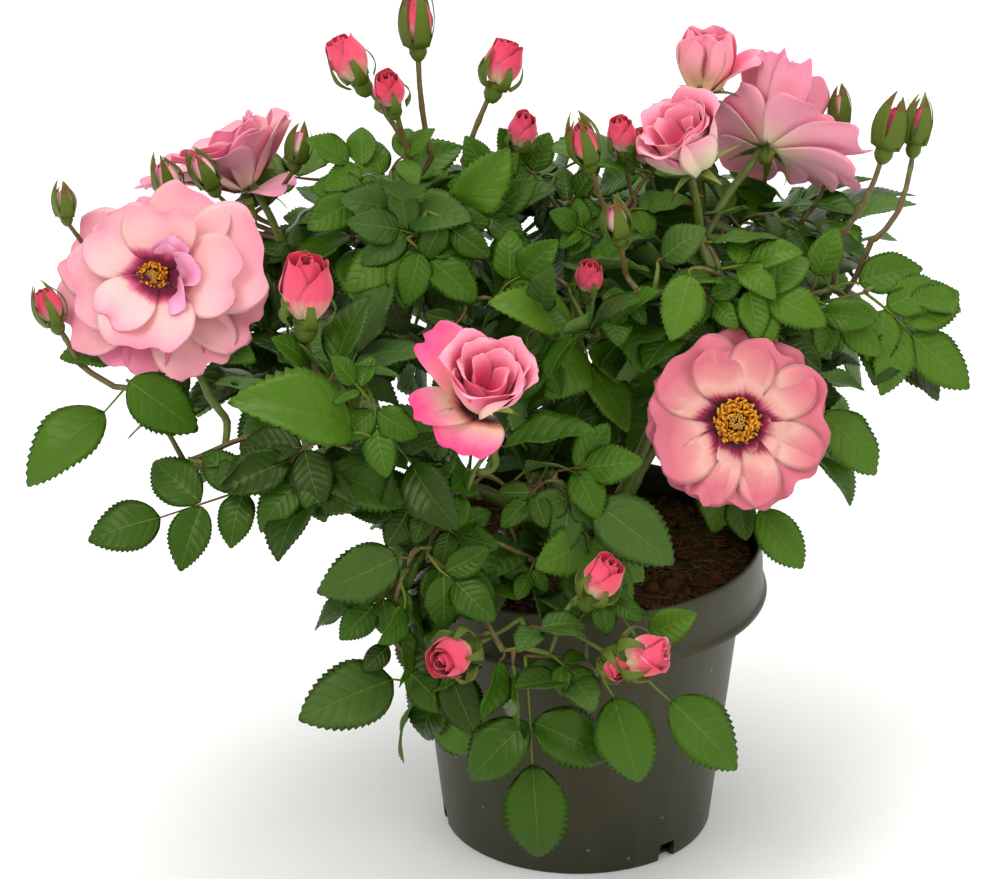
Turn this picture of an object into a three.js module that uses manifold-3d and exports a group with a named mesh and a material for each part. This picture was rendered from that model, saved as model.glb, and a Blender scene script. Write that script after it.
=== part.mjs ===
// A potted rose bush: a 3-litre nursery pot, its compost, seven canes, the boughs and flowering
// stems, twenty-three masses of leaves, seven open blooms and a dozen bud shoots.
// Millimetres, +Z up, origin at the centre of the pot's flat underside.
// -Y is the front, where the blooms face; +X is the side where the long right spray hangs.

import * as THREE from "three";
import { mergeVertices } from "three/addons/utils/BufferGeometryUtils.js";
import Module from "manifold-3d";

const wasm = await Module();
wasm.setup();

// ---- driving dimensions -------------------------------------------------------------------

const gap = 0.3; // clearance between neighbouring pieces
const wall = 2; // thickness of the pot's wall and floor

const potHeight = 162;
const footRadius = 70; // outside, at the underside
const shoulderRadius = 85; // outside, where the wall meets the band
const bandHeight = 30;
const bandRadius = 95; // outside, at the rim
const lipRadius = 98; // outside, at the band's lower edge
const lipHeight = 4;
const potSegments = 36;

const notchCount = 3;
const notchWidth = 12;
const notchHeight = 10;
const notchTurn = -49; // degrees, the first drain notch, in front and to the right

const compostTop = 148; // at the pot's wall
const compostCrown = 3; // how much higher the compost is in the middle

const massSegments = [12, 7]; // round and down a mass of leaves
const bloomSegments = [12, 6];
const lobeCount = 7; // bumps that make each mass uneven
const lobeHeight = 0.3; // of the mass's radius

const caneSides = 7;
const caneSteps = 8;
const caneFootRadius = 4.2;
const caneTipRadius = 2.2;
const caneRise = 22; // the straight start of a cane above the compost

const shootSides = 6;
const stemSteps = 5;
const stemFootRadius = 2.6;
const stemTipRadius = 1.9;
const budSteps = 9;
const stalkRadius = 1.3; // under a bud

// ---- colours ------------------------------------------------------------------------------

const plastic = new THREE.MeshStandardMaterial({ color: "#3f3f37", roughness: 0.5, metalness: 0 });
const peat = new THREE.MeshStandardMaterial({ color: "#2a1d12", roughness: 0.95, metalness: 0 });
const bark = new THREE.MeshStandardMaterial({ color: "#5f6a2c", roughness: 0.6, metalness: 0 });
const leaf = new THREE.MeshStandardMaterial({ color: "#355a20", roughness: 0.45, metalness: 0 });
const petal = new THREE.MeshStandardMaterial({ color: "#f3a3ae", roughness: 0.6, metalness: 0 });
const bud = new THREE.MeshStandardMaterial({ color: "#d8495f", roughness: 0.55, metalness: 0 });

// ---- the canes: foot on the compost [x, y], a bend on the way, and the end inside a mass ----

const canes = {
  cane_left: { foot: [-22, -8], bend: [-70, -40, 215], end: [-150, -80, 262] },
  cane_left_back: { foot: [-16, 14], bend: [-50, 30, 230], end: [-140, 35, 290] },
  cane_middle_back: { foot: [2, 20], bend: [2, 48, 220], end: [-5, 100, 300] },
  cane_top: { foot: [-6, 2], bend: [-36, 2, 240], end: [-72, 4, 320] },
  cane_right: { foot: [20, 10], bend: [62, 26, 235], end: [125, 22, 300] },
  cane_right_front: { foot: [14, -8], bend: [34, -22, 225], end: [58, -26, 300] },
  cane_front: { foot: [-4, -20], bend: [-16, -56, 186], end: [-24, -112, 165] },
};

// ---- the masses of leaves: middle, half sizes and the seed of each one's own shape ----------

const masses = {
  leaves_centre: { at: [-42, -72, 215], half: [60, 34, 50], seed: 3 },
  leaves_left_middle: { at: [-134, -90, 258], half: [58, 38, 42], seed: 5 },
  leaves_left_outer: { at: [-235, -55, 252], half: [52, 32, 30], seed: 7 },
  leaves_left_low: { at: [-209, -96, 222], half: [38, 22, 25], seed: 11 },
  leaves_lower_left: { at: [-108, -110, 158], half: [36, 28, 50], seed: 13 },
  leaves_front_cluster: { at: [-18, -122, 160], half: [68, 18, 26], seed: 17 },
  leaves_front_hanging: { at: [8, -126, 84], half: [62, 14, 48], seed: 19 },
  leaves_upper_middle: { at: [-78, 4, 326], half: [62, 46, 38], seed: 23 },
  leaves_upper_left: { at: [-118, 48, 330], half: [28, 30, 28], seed: 29 },
  leaves_inner_high: { at: [-14, -24, 300], half: [44, 38, 34], seed: 31 },
  leaves_top: { at: [2, 38, 346], half: [54, 36, 28], seed: 37 },
  leaves_right_centre: { at: [64, -28, 302], half: [48, 36, 30], seed: 41 },
  leaves_right_upper: { at: [98, 62, 304], half: [40, 36, 25], seed: 43 },
  leaves_right_spray: { at: [138, 14, 290], half: [46, 38, 26], seed: 47 },
  leaves_right_tip: { at: [180, -2, 270], half: [26, 26, 30], seed: 53 },
  leaves_right_low: { at: [136, -30, 230], half: [20, 17, 24], seed: 59 },
  leaves_right_under: { at: [105, -42, 186], half: [18, 15, 20], seed: 61 },
  leaves_right_side: { at: [88, 46, 222], half: [44, 50, 44], seed: 67 },
  leaves_left_side: { at: [-148, 14, 250], half: [50, 48, 42], seed: 71 },
  leaves_back_left: { at: [-92, 108, 262], half: [56, 46, 54], seed: 73 },
  leaves_back_middle: { at: [2, 132, 286], half: [54, 42, 52], seed: 79 },
  leaves_back_right: { at: [94, 118, 270], half: [50, 44, 46], seed: 83 },
  leaves_back_low: { at: [-10, 126, 196], half: [66, 34, 36], seed: 89 },
};

// ---- the open blooms: middle, radius across the petals, half depth, and the way it faces -----

const blooms = {
  bloom_left: { at: [-211, -46, 328], radius: 55, depth: 22, faces: [-0.1, -0.75, 0.65] },
  bloom_back_left: { at: [-176, 46, 354], radius: 37, depth: 21, faces: [-0.2, 0.5, 0.84] },
  bloom_centre: { at: [-57, -116, 296], radius: 35, depth: 25, faces: [0.05, -0.82, 0.57] },
  bloom_front_right: { at: [78, -74, 257], radius: 44, depth: 18, faces: [0.05, -0.92, 0.38] },
  bloom_top_right: { at: [63, 58, 402], radius: 18, depth: 20, faces: [-0.2, -0.1, 0.97] },
  bloom_upper: { at: [49, 14, 378], radius: 21, depth: 21, faces: [-0.35, -0.55, 0.75] },
  bloom_right: { at: [106, 54, 368], radius: 42, depth: 24, faces: [0.35, 0.3, 0.88] },
};

// ---- the stem under each bloom: start inside a mass and a bend on the way --------------------

const bloomStems = {
  stem_left: { to: "bloom_left", from: [-150, -72, 240], bend: [-176, -62, 252] },
  stem_back_left: { to: "bloom_back_left", from: [-146, 28, 276], bend: [-154, 36, 316] },
  stem_centre: { to: "bloom_centre", from: [-42, -86, 232], bend: [-44, -102, 258] },
  stem_front_right: { to: "bloom_front_right", from: [60, -20, 280], bend: [66, -40, 262] },
  stem_top_right: { to: "bloom_top_right", from: [64, 44, 320], bend: [60, 48, 360] },
  stem_upper: { to: "bloom_upper", from: [62, 22, 318], bend: [58, 18, 346] },
  stem_right: { to: "bloom_right", from: [64, 26, 318], bend: [78, 38, 340] },
};

// ---- boughs that carry a mass with no cane of its own: start, bend and end inside masses ------

const boughs = {
  bough_left_outer: { from: [-140, -84, 244], bend: [-182, -76, 236], end: [-236, -58, 250] },
  bough_front_low: { from: [-8, -124, 158], bend: [4, -128, 136], end: [8, -126, 96] },
};

// ---- the bud shoots: start inside a mass, a bend, the bud's middle, its radius and length ----

const budShoots = {
  bud_top_left: { from: [-74, 5, 345], bend: [-92, 7, 384], at: [-117, 10, 421], radius: 9, length: 30 },
  bud_top_inner: { from: [-76, 4, 346], bend: [-88, 1, 380], at: [-95, -10, 411], radius: 8, length: 26 },
  bud_top_tall: { from: [-70, 8, 340], bend: [-80, 16, 395], at: [-82, 20, 440], radius: 7, length: 38 },
  bud_top_right: { from: [-66, 5, 340], bend: [-56, 12, 374], at: [-39, 20, 414], radius: 9, length: 30 },
  bud_middle_tall: { from: [26, -8, 325], bend: [12, -20, 352], at: [1, -30, 393], radius: 7, length: 32 },
  bud_middle_low: { from: [24, -22, 312], bend: [22, -34, 326], at: [17, -42, 356], radius: 6, length: 24 },
  bud_far_right: { from: [120, 24, 300], bend: [146, 26, 340], at: [158, 32, 378], radius: 7, length: 30 },
  bud_far_right_low: { from: [128, 22, 300], bend: [160, 22, 330], at: [172, 44, 374], radius: 6, length: 26 },
  bud_left_inner: { from: [-128, -80, 280], bend: [-136, -84, 308], at: [-135, -86, 338], radius: 13, length: 38 },
  bud_far_left: { from: [-240, -46, 262], bend: [-252, -50, 284], at: [-266, -48, 312], radius: 7, length: 24 },
  bud_front_high: { from: [-14, -122, 168], bend: [-4, -126, 184], at: [10, -130, 200], radius: 10, length: 28 },
  bud_front_right: { from: [0, -128, 158], bend: [14, -136, 160], at: [30, -146, 166], radius: 11, length: 28 },
};

// ---- helpers ---------------------------------------------------------------------------------

// A small repeatable random generator, so that a seed always gives the same shape.
function randomFrom(seed) {
  let state = seed * 2654435761;
  return () => {
    state = (state ^ (state << 13)) >>> 0;
    state = (state ^ (state >>> 17)) >>> 0;
    state = (state ^ (state << 5)) >>> 0;
    return state / 4294967296;
  };
}

// A closed three.js geometry as a solid that can be joined and cut.
function solidFrom(geometry) {
  const bare = geometry.clone();
  bare.deleteAttribute("normal");
  bare.deleteAttribute("uv");
  const merged = mergeVertices(bare, 1e-4);
  const mesh = new wasm.Mesh({
    numProp: 3,
    vertProperties: new Float32Array(merged.attributes.position.array),
    triVerts: new Uint32Array(merged.index.array),
  });
  return new wasm.Manifold(mesh);
}

function geometryFrom(solid) {
  const mesh = solid.getMesh();
  const geometry = new THREE.BufferGeometry();
  geometry.setAttribute("position", new THREE.BufferAttribute(new Float32Array(mesh.vertProperties), 3));
  geometry.setIndex(new THREE.BufferAttribute(new Uint32Array(mesh.triVerts), 1));
  const flat = geometry.toNonIndexed();
  flat.computeVertexNormals();
  return flat;
}

function vertices(geometry, move) {
  const place = geometry.attributes.position;
  const point = new THREE.Vector3();
  for (let i = 0; i < place.count; i += 1) {
    point.fromBufferAttribute(place, i);
    move(point);
    place.setXYZ(i, point.x, point.y, point.z);
  }
  return geometry;
}

// ---- one tapering limb: a closed cylinder bent along a curve, its radius given along it -------

function limb(points, radiusAt, sides, steps, extra) {
  const curve = new THREE.CatmullRomCurve3(points);
  const frames = curve.computeFrenetFrames(steps, false);
  const geometry = new THREE.CylinderGeometry(1, 1, 1, sides, steps);
  vertices(geometry, (point) => {
    const along = point.y + 0.5;
    const ring = Math.round(along * steps);
    const radius = radiusAt(along) + extra;
    const centre = curve.getPointAt(along);
    const end = along === 0 ? -extra : along === 1 ? extra : 0;
    centre.addScaledVector(frames.tangents[ring], end);
    centre.addScaledVector(frames.normals[ring], point.x * radius);
    centre.addScaledVector(frames.binormals[ring], -point.z * radius);
    point.copy(centre);
  });
  return solidFrom(geometry);
}

function caneSolid(cane, extra = 0) {
  const foot = new THREE.Vector3(...cane.foot, compostTop + compostCrown + gap);
  const rise = new THREE.Vector3(cane.foot[0] * 1.15, cane.foot[1] * 1.15, foot.z + caneRise);
  const points = [foot, rise, new THREE.Vector3(...cane.bend), new THREE.Vector3(...cane.end)];
  const radiusAt = (along) => THREE.MathUtils.lerp(caneFootRadius, caneTipRadius, along);
  return limb(points, radiusAt, caneSides, caneSteps, extra);
}

function boughSolid(bough, extra = 0) {
  const points = [bough.from, bough.bend, bough.end].map((place) => new THREE.Vector3(...place));
  const radiusAt = (along) => THREE.MathUtils.lerp(stemFootRadius, stemTipRadius, along);
  return limb(points, radiusAt, shootSides, stemSteps, extra);
}

function bloomStemSolid(stem, extra = 0) {
  return boughSolid({ from: stem.from, bend: stem.bend, end: blooms[stem.to].at }, extra);
}

// A shoot keeps a thin stalk up to its bud, swells over the bud's length and closes to a tip.
function budShootSolid(shoot, extra = 0) {
  const middle = new THREE.Vector3(...shoot.at);
  const bend = new THREE.Vector3(...shoot.bend);
  const rise = middle.clone().sub(bend).normalize();
  const tip = middle.clone().addScaledVector(rise, shoot.length / 2);
  const points = [new THREE.Vector3(...shoot.from), bend, middle, tip];
  const total = new THREE.CatmullRomCurve3(points).getLength();
  const budShare = shoot.length / total;
  const radiusAt = (along) => {
    const inBud = (along - (1 - budShare)) / budShare;
    const swell = inBud > 0 ? Math.sin(Math.PI * Math.min(1, inBud * 0.93 + 0.02)) : 0;
    return stalkRadius + (shoot.radius - stalkRadius) * Math.max(0, swell) ** 0.8;
  };
  return limb(points, radiusAt, shootSides, budSteps, extra);
}

// ---- one mass of leaves: an uneven closed solid with lobes of its own ------------------------

function massSolid(mass, extra = 0) {
  const random = randomFrom(mass.seed);
  const lobes = [];
  for (let i = 0; i < lobeCount; i += 1) {
    const turn = random() * Math.PI * 2;
    const rise = random() * 2 - 1;
    const flat = Math.sqrt(1 - rise * rise);
    lobes.push(new THREE.Vector3(Math.cos(turn) * flat, Math.sin(turn) * flat, rise));
  }
  const geometry = new THREE.SphereGeometry(1, ...massSegments);
  geometry.rotateX(Math.PI / 2);
  vertices(geometry, (point) => {
    let reach = 1 - lobeHeight;
    for (const lobe of lobes) {
      reach += lobeHeight * Math.exp((point.dot(lobe) - 1) * 7);
    }
    point.multiplyScalar(reach);
  });
  geometry.computeBoundingBox();
  const { min, max } = geometry.boundingBox;
  vertices(geometry, (point) => {
    const axes = ["x", "y", "z"];
    axes.forEach((axis, i) => {
      const share = (point[axis] - min[axis]) / (max[axis] - min[axis]);
      point[axis] = (share * 2 - 1) * (mass.half[i] + extra);
    });
  });
  geometry.translate(...mass.at);
  return solidFrom(geometry);
}

// ---- one bloom's head: a shallow closed bowl shape, rounder behind than in front -------------

function bloomSolid(bloom, extra = 0) {
  const geometry = new THREE.SphereGeometry(1, ...bloomSegments);
  geometry.rotateX(Math.PI / 2);
  vertices(geometry, (point) => {
    const out = bloom.radius + extra;
    point.set(point.x * out, point.y * out, point.z * (bloom.depth + extra));
  });
  const faces = new THREE.Vector3(...bloom.faces).normalize();
  const turn = new THREE.Quaternion().setFromUnitVectors(new THREE.Vector3(0, 0, 1), faces);
  geometry.applyQuaternion(turn);
  geometry.translate(...bloom.at);
  return solidFrom(geometry);
}

// ---- the pot: one lathe with its band and lip, and the drain notches cut into its foot --------

function lathe(profile) {
  const points = profile.map(([radius, height]) => new THREE.Vector2(radius, height));
  const geometry = new THREE.LatheGeometry(points, potSegments);
  geometry.rotateX(Math.PI / 2);
  return solidFrom(geometry);
}

function potBody(extra = 0) {
  const bandFoot = potHeight - bandHeight;
  const outside = [
    [footRadius - 1.5, -extra],
    [footRadius, 1.5 - extra],
    [shoulderRadius, bandFoot - 1 - extra],
    [lipRadius - 1.5, bandFoot - 1 - extra],
    [lipRadius, bandFoot],
    [lipRadius - 0.3, bandFoot + lipHeight - 1],
    [lipRadius - 2, bandFoot + lipHeight + extra],
    [bandRadius, potHeight - 1],
    [bandRadius - 1, potHeight + extra],
  ];
  const inside = [
    [bandRadius - wall, potHeight - 0.5 + extra],
    [lipRadius - 2 - wall, bandFoot + wall],
    [shoulderRadius - wall, bandFoot - 1],
    [footRadius - wall, wall + 2],
    [footRadius - wall - 2, wall],
  ];
  return lathe([
    [0, -extra],
    ...outside.map(([radius, height]) => [radius + extra, height]),
    ...inside.map(([radius, height]) => [radius - extra, height]),
    [0, wall],
  ]);
}

function potSolid() {
  let pot = potBody();
  for (let i = 0; i < notchCount; i += 1) {
    const turn = THREE.MathUtils.degToRad(notchTurn + (i * 360) / notchCount);
    const notch = new THREE.BoxGeometry(2 * wall + 8, notchWidth, notchHeight * 2);
    notch.translate(footRadius, 0, 0);
    notch.rotateZ(turn);
    pot = pot.subtract(solidFrom(notch));
  }
  return pot;
}

function compostSolid(extra = 0) {
  const bandFoot = potHeight - bandHeight;
  const clear = wall + gap - extra;
  const profile = [
    [0, wall + gap - extra],
    [footRadius - clear - 2.4, wall + gap - extra],
    [footRadius - clear - 0.2, wall + 2.2 + gap - extra],
    [shoulderRadius - clear - 0.2, bandFoot - 0.6],
    [lipRadius - 2 - clear - 0.4, bandFoot + wall + gap * 2],
    [bandRadius - clear + 1, compostTop + extra],
    [bandRadius * 0.6, compostTop + compostCrown * 0.8 + extra],
    [0, compostTop + compostCrown + extra],
  ];
  return lathe(profile);
}

// ---- assembly: pieces in order of precedence, each cut clear of those before it ---------------

const placed = []; // each earlier piece, grown by the clearance
const group = new THREE.Group();
group.name = "potted_rose_bush";

function largestPart(solid) {
  const parts = solid.decompose();
  parts.sort((a, b) => b.volume() - a.volume());
  return parts[0];
}

function boxesMeet(a, b) {
  const one = a.boundingBox();
  const two = b.boundingBox();
  return [0, 1, 2].every((i) => one.min[i] <= two.max[i] && two.min[i] <= one.max[i]);
}

function add(name, material, solid, grown) {
  let cut = solid;
  for (const other of placed) {
    if (boxesMeet(cut, other)) {
      cut = cut.subtract(other);
    }
  }
  if (cut !== solid) {
    cut = largestPart(cut);
  }
  placed.push(grown);
  const geometry = geometryFrom(cut);
  geometry.computeBoundingBox();
  const middle = geometry.boundingBox.getCenter(new THREE.Vector3());
  geometry.translate(-middle.x, -middle.y, -middle.z);
  const mesh = new THREE.Mesh(geometry, material);
  mesh.name = name;
  mesh.position.copy(middle);
  group.add(mesh);
}

function addAll(table, material, makeSolid) {
  for (const [name, sizes] of Object.entries(table)) {
    add(name, material, makeSolid(sizes), makeSolid(sizes, gap * 1.6));
  }
}

add("pot", plastic, potSolid(), potBody(gap));
add("compost", peat, compostSolid(), compostSolid(gap * 0.5));
addAll(blooms, petal, bloomSolid);
addAll(masses, leaf, massSolid);
addAll(canes, bark, caneSolid);
addAll(bloomStems, bark, bloomStemSolid);
addAll(boughs, bark, boughSolid);
addAll(budShoots, bud, budShootSolid);

export default group;
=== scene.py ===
import math
import bpy
import numpy as np
from mathutils import Matrix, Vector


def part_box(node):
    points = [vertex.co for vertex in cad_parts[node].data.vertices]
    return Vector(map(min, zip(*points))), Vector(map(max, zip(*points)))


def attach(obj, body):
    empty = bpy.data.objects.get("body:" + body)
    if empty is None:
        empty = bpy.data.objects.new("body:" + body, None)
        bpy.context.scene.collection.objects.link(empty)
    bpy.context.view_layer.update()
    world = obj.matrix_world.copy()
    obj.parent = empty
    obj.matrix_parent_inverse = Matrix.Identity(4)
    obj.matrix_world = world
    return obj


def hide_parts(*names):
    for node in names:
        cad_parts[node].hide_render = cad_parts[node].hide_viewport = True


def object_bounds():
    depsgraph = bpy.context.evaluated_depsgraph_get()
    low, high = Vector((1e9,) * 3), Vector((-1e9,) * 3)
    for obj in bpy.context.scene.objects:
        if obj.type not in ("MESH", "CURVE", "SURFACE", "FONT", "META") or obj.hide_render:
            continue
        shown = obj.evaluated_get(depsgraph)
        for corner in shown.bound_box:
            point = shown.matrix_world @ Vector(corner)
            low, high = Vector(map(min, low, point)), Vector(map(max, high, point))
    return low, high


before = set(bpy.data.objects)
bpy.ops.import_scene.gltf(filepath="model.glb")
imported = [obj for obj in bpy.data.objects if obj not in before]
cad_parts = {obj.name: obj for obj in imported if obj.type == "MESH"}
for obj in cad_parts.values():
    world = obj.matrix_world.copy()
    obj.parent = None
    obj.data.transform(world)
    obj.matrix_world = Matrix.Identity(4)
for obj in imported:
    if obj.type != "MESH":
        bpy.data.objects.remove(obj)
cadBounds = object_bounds()
mm = 0.001  # every size below is in millimetres until a mesh is written
goldenTurn = math.radians(137.5)  # the turn between one leaf or petal and the next
print("frame loaded")


def hexToLinear(text):
    channels = [int(text[i:i + 2], 16) / 255 for i in (1, 3, 5)]
    linear = [c / 12.92 if c <= 0.04045 else ((c + 0.055) / 1.055) ** 2.4 for c in channels]
    return (*linear, 1.0)


# adds a node, sets what is in settings and links what is in links; a colour ramp takes its stops
def addNode(tree, kind, settings=None, links=None):
    node = tree.nodes.new(kind)
    for name, value in (settings or {}).items():
        if name == "stops":
            ramp = node.color_ramp
            while len(ramp.elements) < len(value):
                ramp.elements.new(0.5)
            for element, (place, tint) in zip(ramp.elements, value):
                element.position = place
                element.color = hexToLinear(tint)
        elif isinstance(name, str) and hasattr(node, name):
            setattr(node, name, value)
        else:
            node.inputs[name].default_value = value
    for name, socket in (links or {}).items():
        tree.links.new(socket, node.inputs[name])
    return node


def newMaterial(name, settings):
    material = bpy.data.materials.new(name)
    material.use_nodes = True
    shader = material.node_tree.nodes["Principled BSDF"]
    for key, value in settings.items():
        shader.inputs[key].default_value = value
    return material, material.node_tree, shader


# Meshes from arrays: a heap gathers many small shapes and becomes one piece

class Heap:
    def __init__(self):
        self.points = []
        self.faces = []
        self.slots = []
        self.uvs = []
        self.count = 0

    def add(self, points, faces, slots, uvs=None):
        points = np.asarray(points, float)
        faces = np.asarray(faces, int)
        self.points.append(points)
        self.faces.append(faces + self.count)
        self.slots.append(np.broadcast_to(np.asarray(slots, int), (len(faces),)))
        self.uvs.append(np.zeros((len(points), 2)) if uvs is None else uvs)
        self.count += len(points)


def makePiece(name, heap, materials, replaces=(), bakeTiles=None):
    points = np.concatenate(heap.points) * mm
    faces = np.concatenate(heap.faces)
    slots = np.concatenate(heap.slots)
    uvs = np.concatenate(heap.uvs)
    # a front and a back share their corner faces, so only the first of each such pair stays
    first = np.sort(np.unique(np.sort(faces, axis=1), axis=0, return_index=True)[1])
    faces, slots = faces[first], slots[first]
    mesh = bpy.data.meshes.new(name)
    mesh.vertices.add(len(points))
    mesh.vertices.foreach_set("co", points.astype(np.float32).ravel())
    mesh.loops.add(faces.size)
    mesh.loops.foreach_set("vertex_index", faces.astype(np.int32).ravel())
    mesh.polygons.add(len(faces))
    mesh.polygons.foreach_set("loop_start", np.arange(0, faces.size, 3, dtype=np.int32))
    mesh.polygons.foreach_set("material_index", slots.astype(np.int32))
    mesh.polygons.foreach_set("use_smooth", np.ones(len(faces), dtype=bool))
    cornerUvs = uvs[faces.ravel()]
    own = mesh.uv_layers.new(name="surfaceUv")
    own.data.foreach_set("uv", cornerUvs.astype(np.float32).ravel())
    if bakeTiles:  # each material's faces share one tile, so its gradient stays sharp when baked
        across, up = bakeTiles
        cornerSlots = np.repeat(slots, 3)
        low = np.stack([cornerSlots % across, cornerSlots // across], 1)
        tiled = (low + 0.04 + 0.92 * cornerUvs) / np.array([across, up])
        baked = mesh.uv_layers.new(name="OFBake")
        baked.data.foreach_set("uv", tiled.astype(np.float32).ravel())
    for material in materials:
        mesh.materials.append(material)
    mesh.update(calc_edges=True)
    mesh.validate()
    piece = bpy.data.objects.new(name, mesh)
    bpy.context.scene.collection.objects.link(piece)
    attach(piece, "root")
    for node in replaces:
        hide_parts(node)
    return piece


cubeCorners = np.array([(x, y, z) for x in (-1, 1) for y in (-1, 1) for z in (-1, 1)], float)
cubeFaces = [(0, 1, 3), (0, 3, 2), (4, 6, 7), (4, 7, 5), (0, 4, 5), (0, 5, 1), (2, 3, 7), (2, 7, 6),
             (0, 2, 6), (0, 6, 4), (1, 5, 7), (1, 7, 3)]


def unit(vector):
    vector = np.asarray(vector, float)
    return vector / max(1e-9, np.linalg.norm(vector))


# right-handed axes with y along the given direction and z as near as can be to up
def axesAlong(direction, up):
    y = unit(direction)
    z = np.asarray(up, float) - np.dot(up, y) * y
    if np.linalg.norm(z) < 1e-4:
        z = np.cross(y, [1.0, 0.13, 0.2])
    z = unit(z)
    return np.stack([np.cross(y, z), y, z])


# a smooth path through the given points
def smoothPath(points, count):
    points = np.asarray(points, float)
    ends = np.concatenate([[2 * points[0] - points[1]], points, [2 * points[-1] - points[-2]]])
    spans = len(points) - 1
    path = []
    for place in np.linspace(0, spans, count):
        i = min(int(place), spans - 1)
        t = place - i
        a, b, c, d = ends[i:i + 4]
        path.append(0.5 * (2 * b + (c - a) * t + (2 * a - 5 * b + 4 * c - d) * t * t
                           + (3 * b - a - 3 * c + d) * t ** 3))
    return np.array(path)


# a closed tube along a path, its radius given at each point
def addTube(heap, path, radii, sides, slot, relief=0.0, rng=None):
    path = np.asarray(path, float)
    rings = len(path)
    tangents = np.gradient(path, axis=0)
    side = axesAlong(tangents[0], [0.31, 0.17, 0.9])[0]
    angles = np.arange(sides) * 2 * math.pi / sides
    points = []
    uvs = []
    length = 0.0
    for i in range(rings):
        along = unit(tangents[i])
        side = unit(side - np.dot(side, along) * along)
        other = np.cross(along, side)
        if i:
            length += np.linalg.norm(path[i] - path[i - 1])
        bumps = 1 + (rng.normal(0, relief, sides) if relief else 0)
        radius = radii[i] * bumps
        points.append(path[i] + np.outer(np.cos(angles) * radius, side)
                      + np.outer(np.sin(angles) * radius, other))
        uvs.append(np.stack([np.arange(sides) / sides, np.full(sides, length / 20)], 1))
    points = np.concatenate(points + [path[:1], path[-1:]])
    uvs = np.concatenate(uvs + [uvs[0][:1], uvs[-1][:1]])
    ring = np.arange(sides)
    after = (ring + 1) % sides
    faces = []
    for i in range(rings - 1):
        a = i * sides
        b = a + sides
        faces.append(np.stack([a + ring, a + after, b + after], 1))
        faces.append(np.stack([a + ring, b + after, b + ring], 1))
    last = (rings - 1) * sides
    faces.append(np.stack([np.full(sides, rings * sides), after, ring], 1))
    faces.append(np.stack([np.full(sides, rings * sides + 1), last + ring, last + after], 1))
    heap.add(points, np.concatenate(faces), slot, uvs)


# the centre line and radii of one of the frame's limbs, read from its solid by slicing it
def limbLine(node, slices=12):
    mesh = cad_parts[node].data
    points = np.empty(len(mesh.vertices) * 3)
    mesh.vertices.foreach_get("co", points)
    points = points.reshape(-1, 3) / mm
    edges = np.empty(len(mesh.edges) * 2, dtype=np.int32)
    mesh.edges.foreach_get("vertices", edges)
    edges = edges.reshape(-1, 2)
    axis = int(np.argmax(np.ptp(points, axis=0)))
    low, high = points[:, axis].min(), points[:, axis].max()
    line = []
    radii = []
    for level in np.linspace(low + 0.03 * (high - low), high - 0.03 * (high - low), slices):
        a, b = points[edges[:, 0]], points[edges[:, 1]]
        crossing = (a[:, axis] - level) * (b[:, axis] - level) < 0
        a, b = a[crossing], b[crossing]
        share = (level - a[:, axis]) / (b[:, axis] - a[:, axis])
        cut = a + (b - a) * share[:, None]
        centre = (cut.min(0) + cut.max(0)) / 2
        line.append(centre)
        radii.append(np.linalg.norm(cut - centre, axis=1).min())
    line = np.array(line)
    if np.linalg.norm(line[0] - footPoint) > np.linalg.norm(line[-1] - footPoint):
        line = line[::-1]
        radii = radii[::-1]
    return line, np.array(radii)


def boxOf(node):
    low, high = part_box(node)
    return np.array(low) / mm, np.array(high) / mm


def middleOf(node):
    low, high = boxOf(node)
    return (low + high) / 2


potHigh = boxOf("pot")[1]
compostHigh = boxOf("compost")[1]
footPoint = np.array([0.0, 0.0, compostHigh[2]])  # every limb starts nearest to this


# Leaf materials: mature rose leaflets, waxy cuticle over a puckered blade.
# They give a semi-gloss green with a cool sheen where they face the sky, and a paler matt underside.
leafLook = {
    "shades": ["#1c3403", "#264604", "#325607", "#3d600e", "#466616", "#34501a"],
    "under": "#567536",
    "rib": "#668438",
    "stalk": "#586a1c",
    "redStalk": "#64432a",
    "sheen": "#f4ffbc",
    "roughness": 0.36,
    "veinPairs": 7,
    "veinSlant": 0.24,
    "veinDepth": 0.5,
    "grain": 1.4,
}


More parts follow.
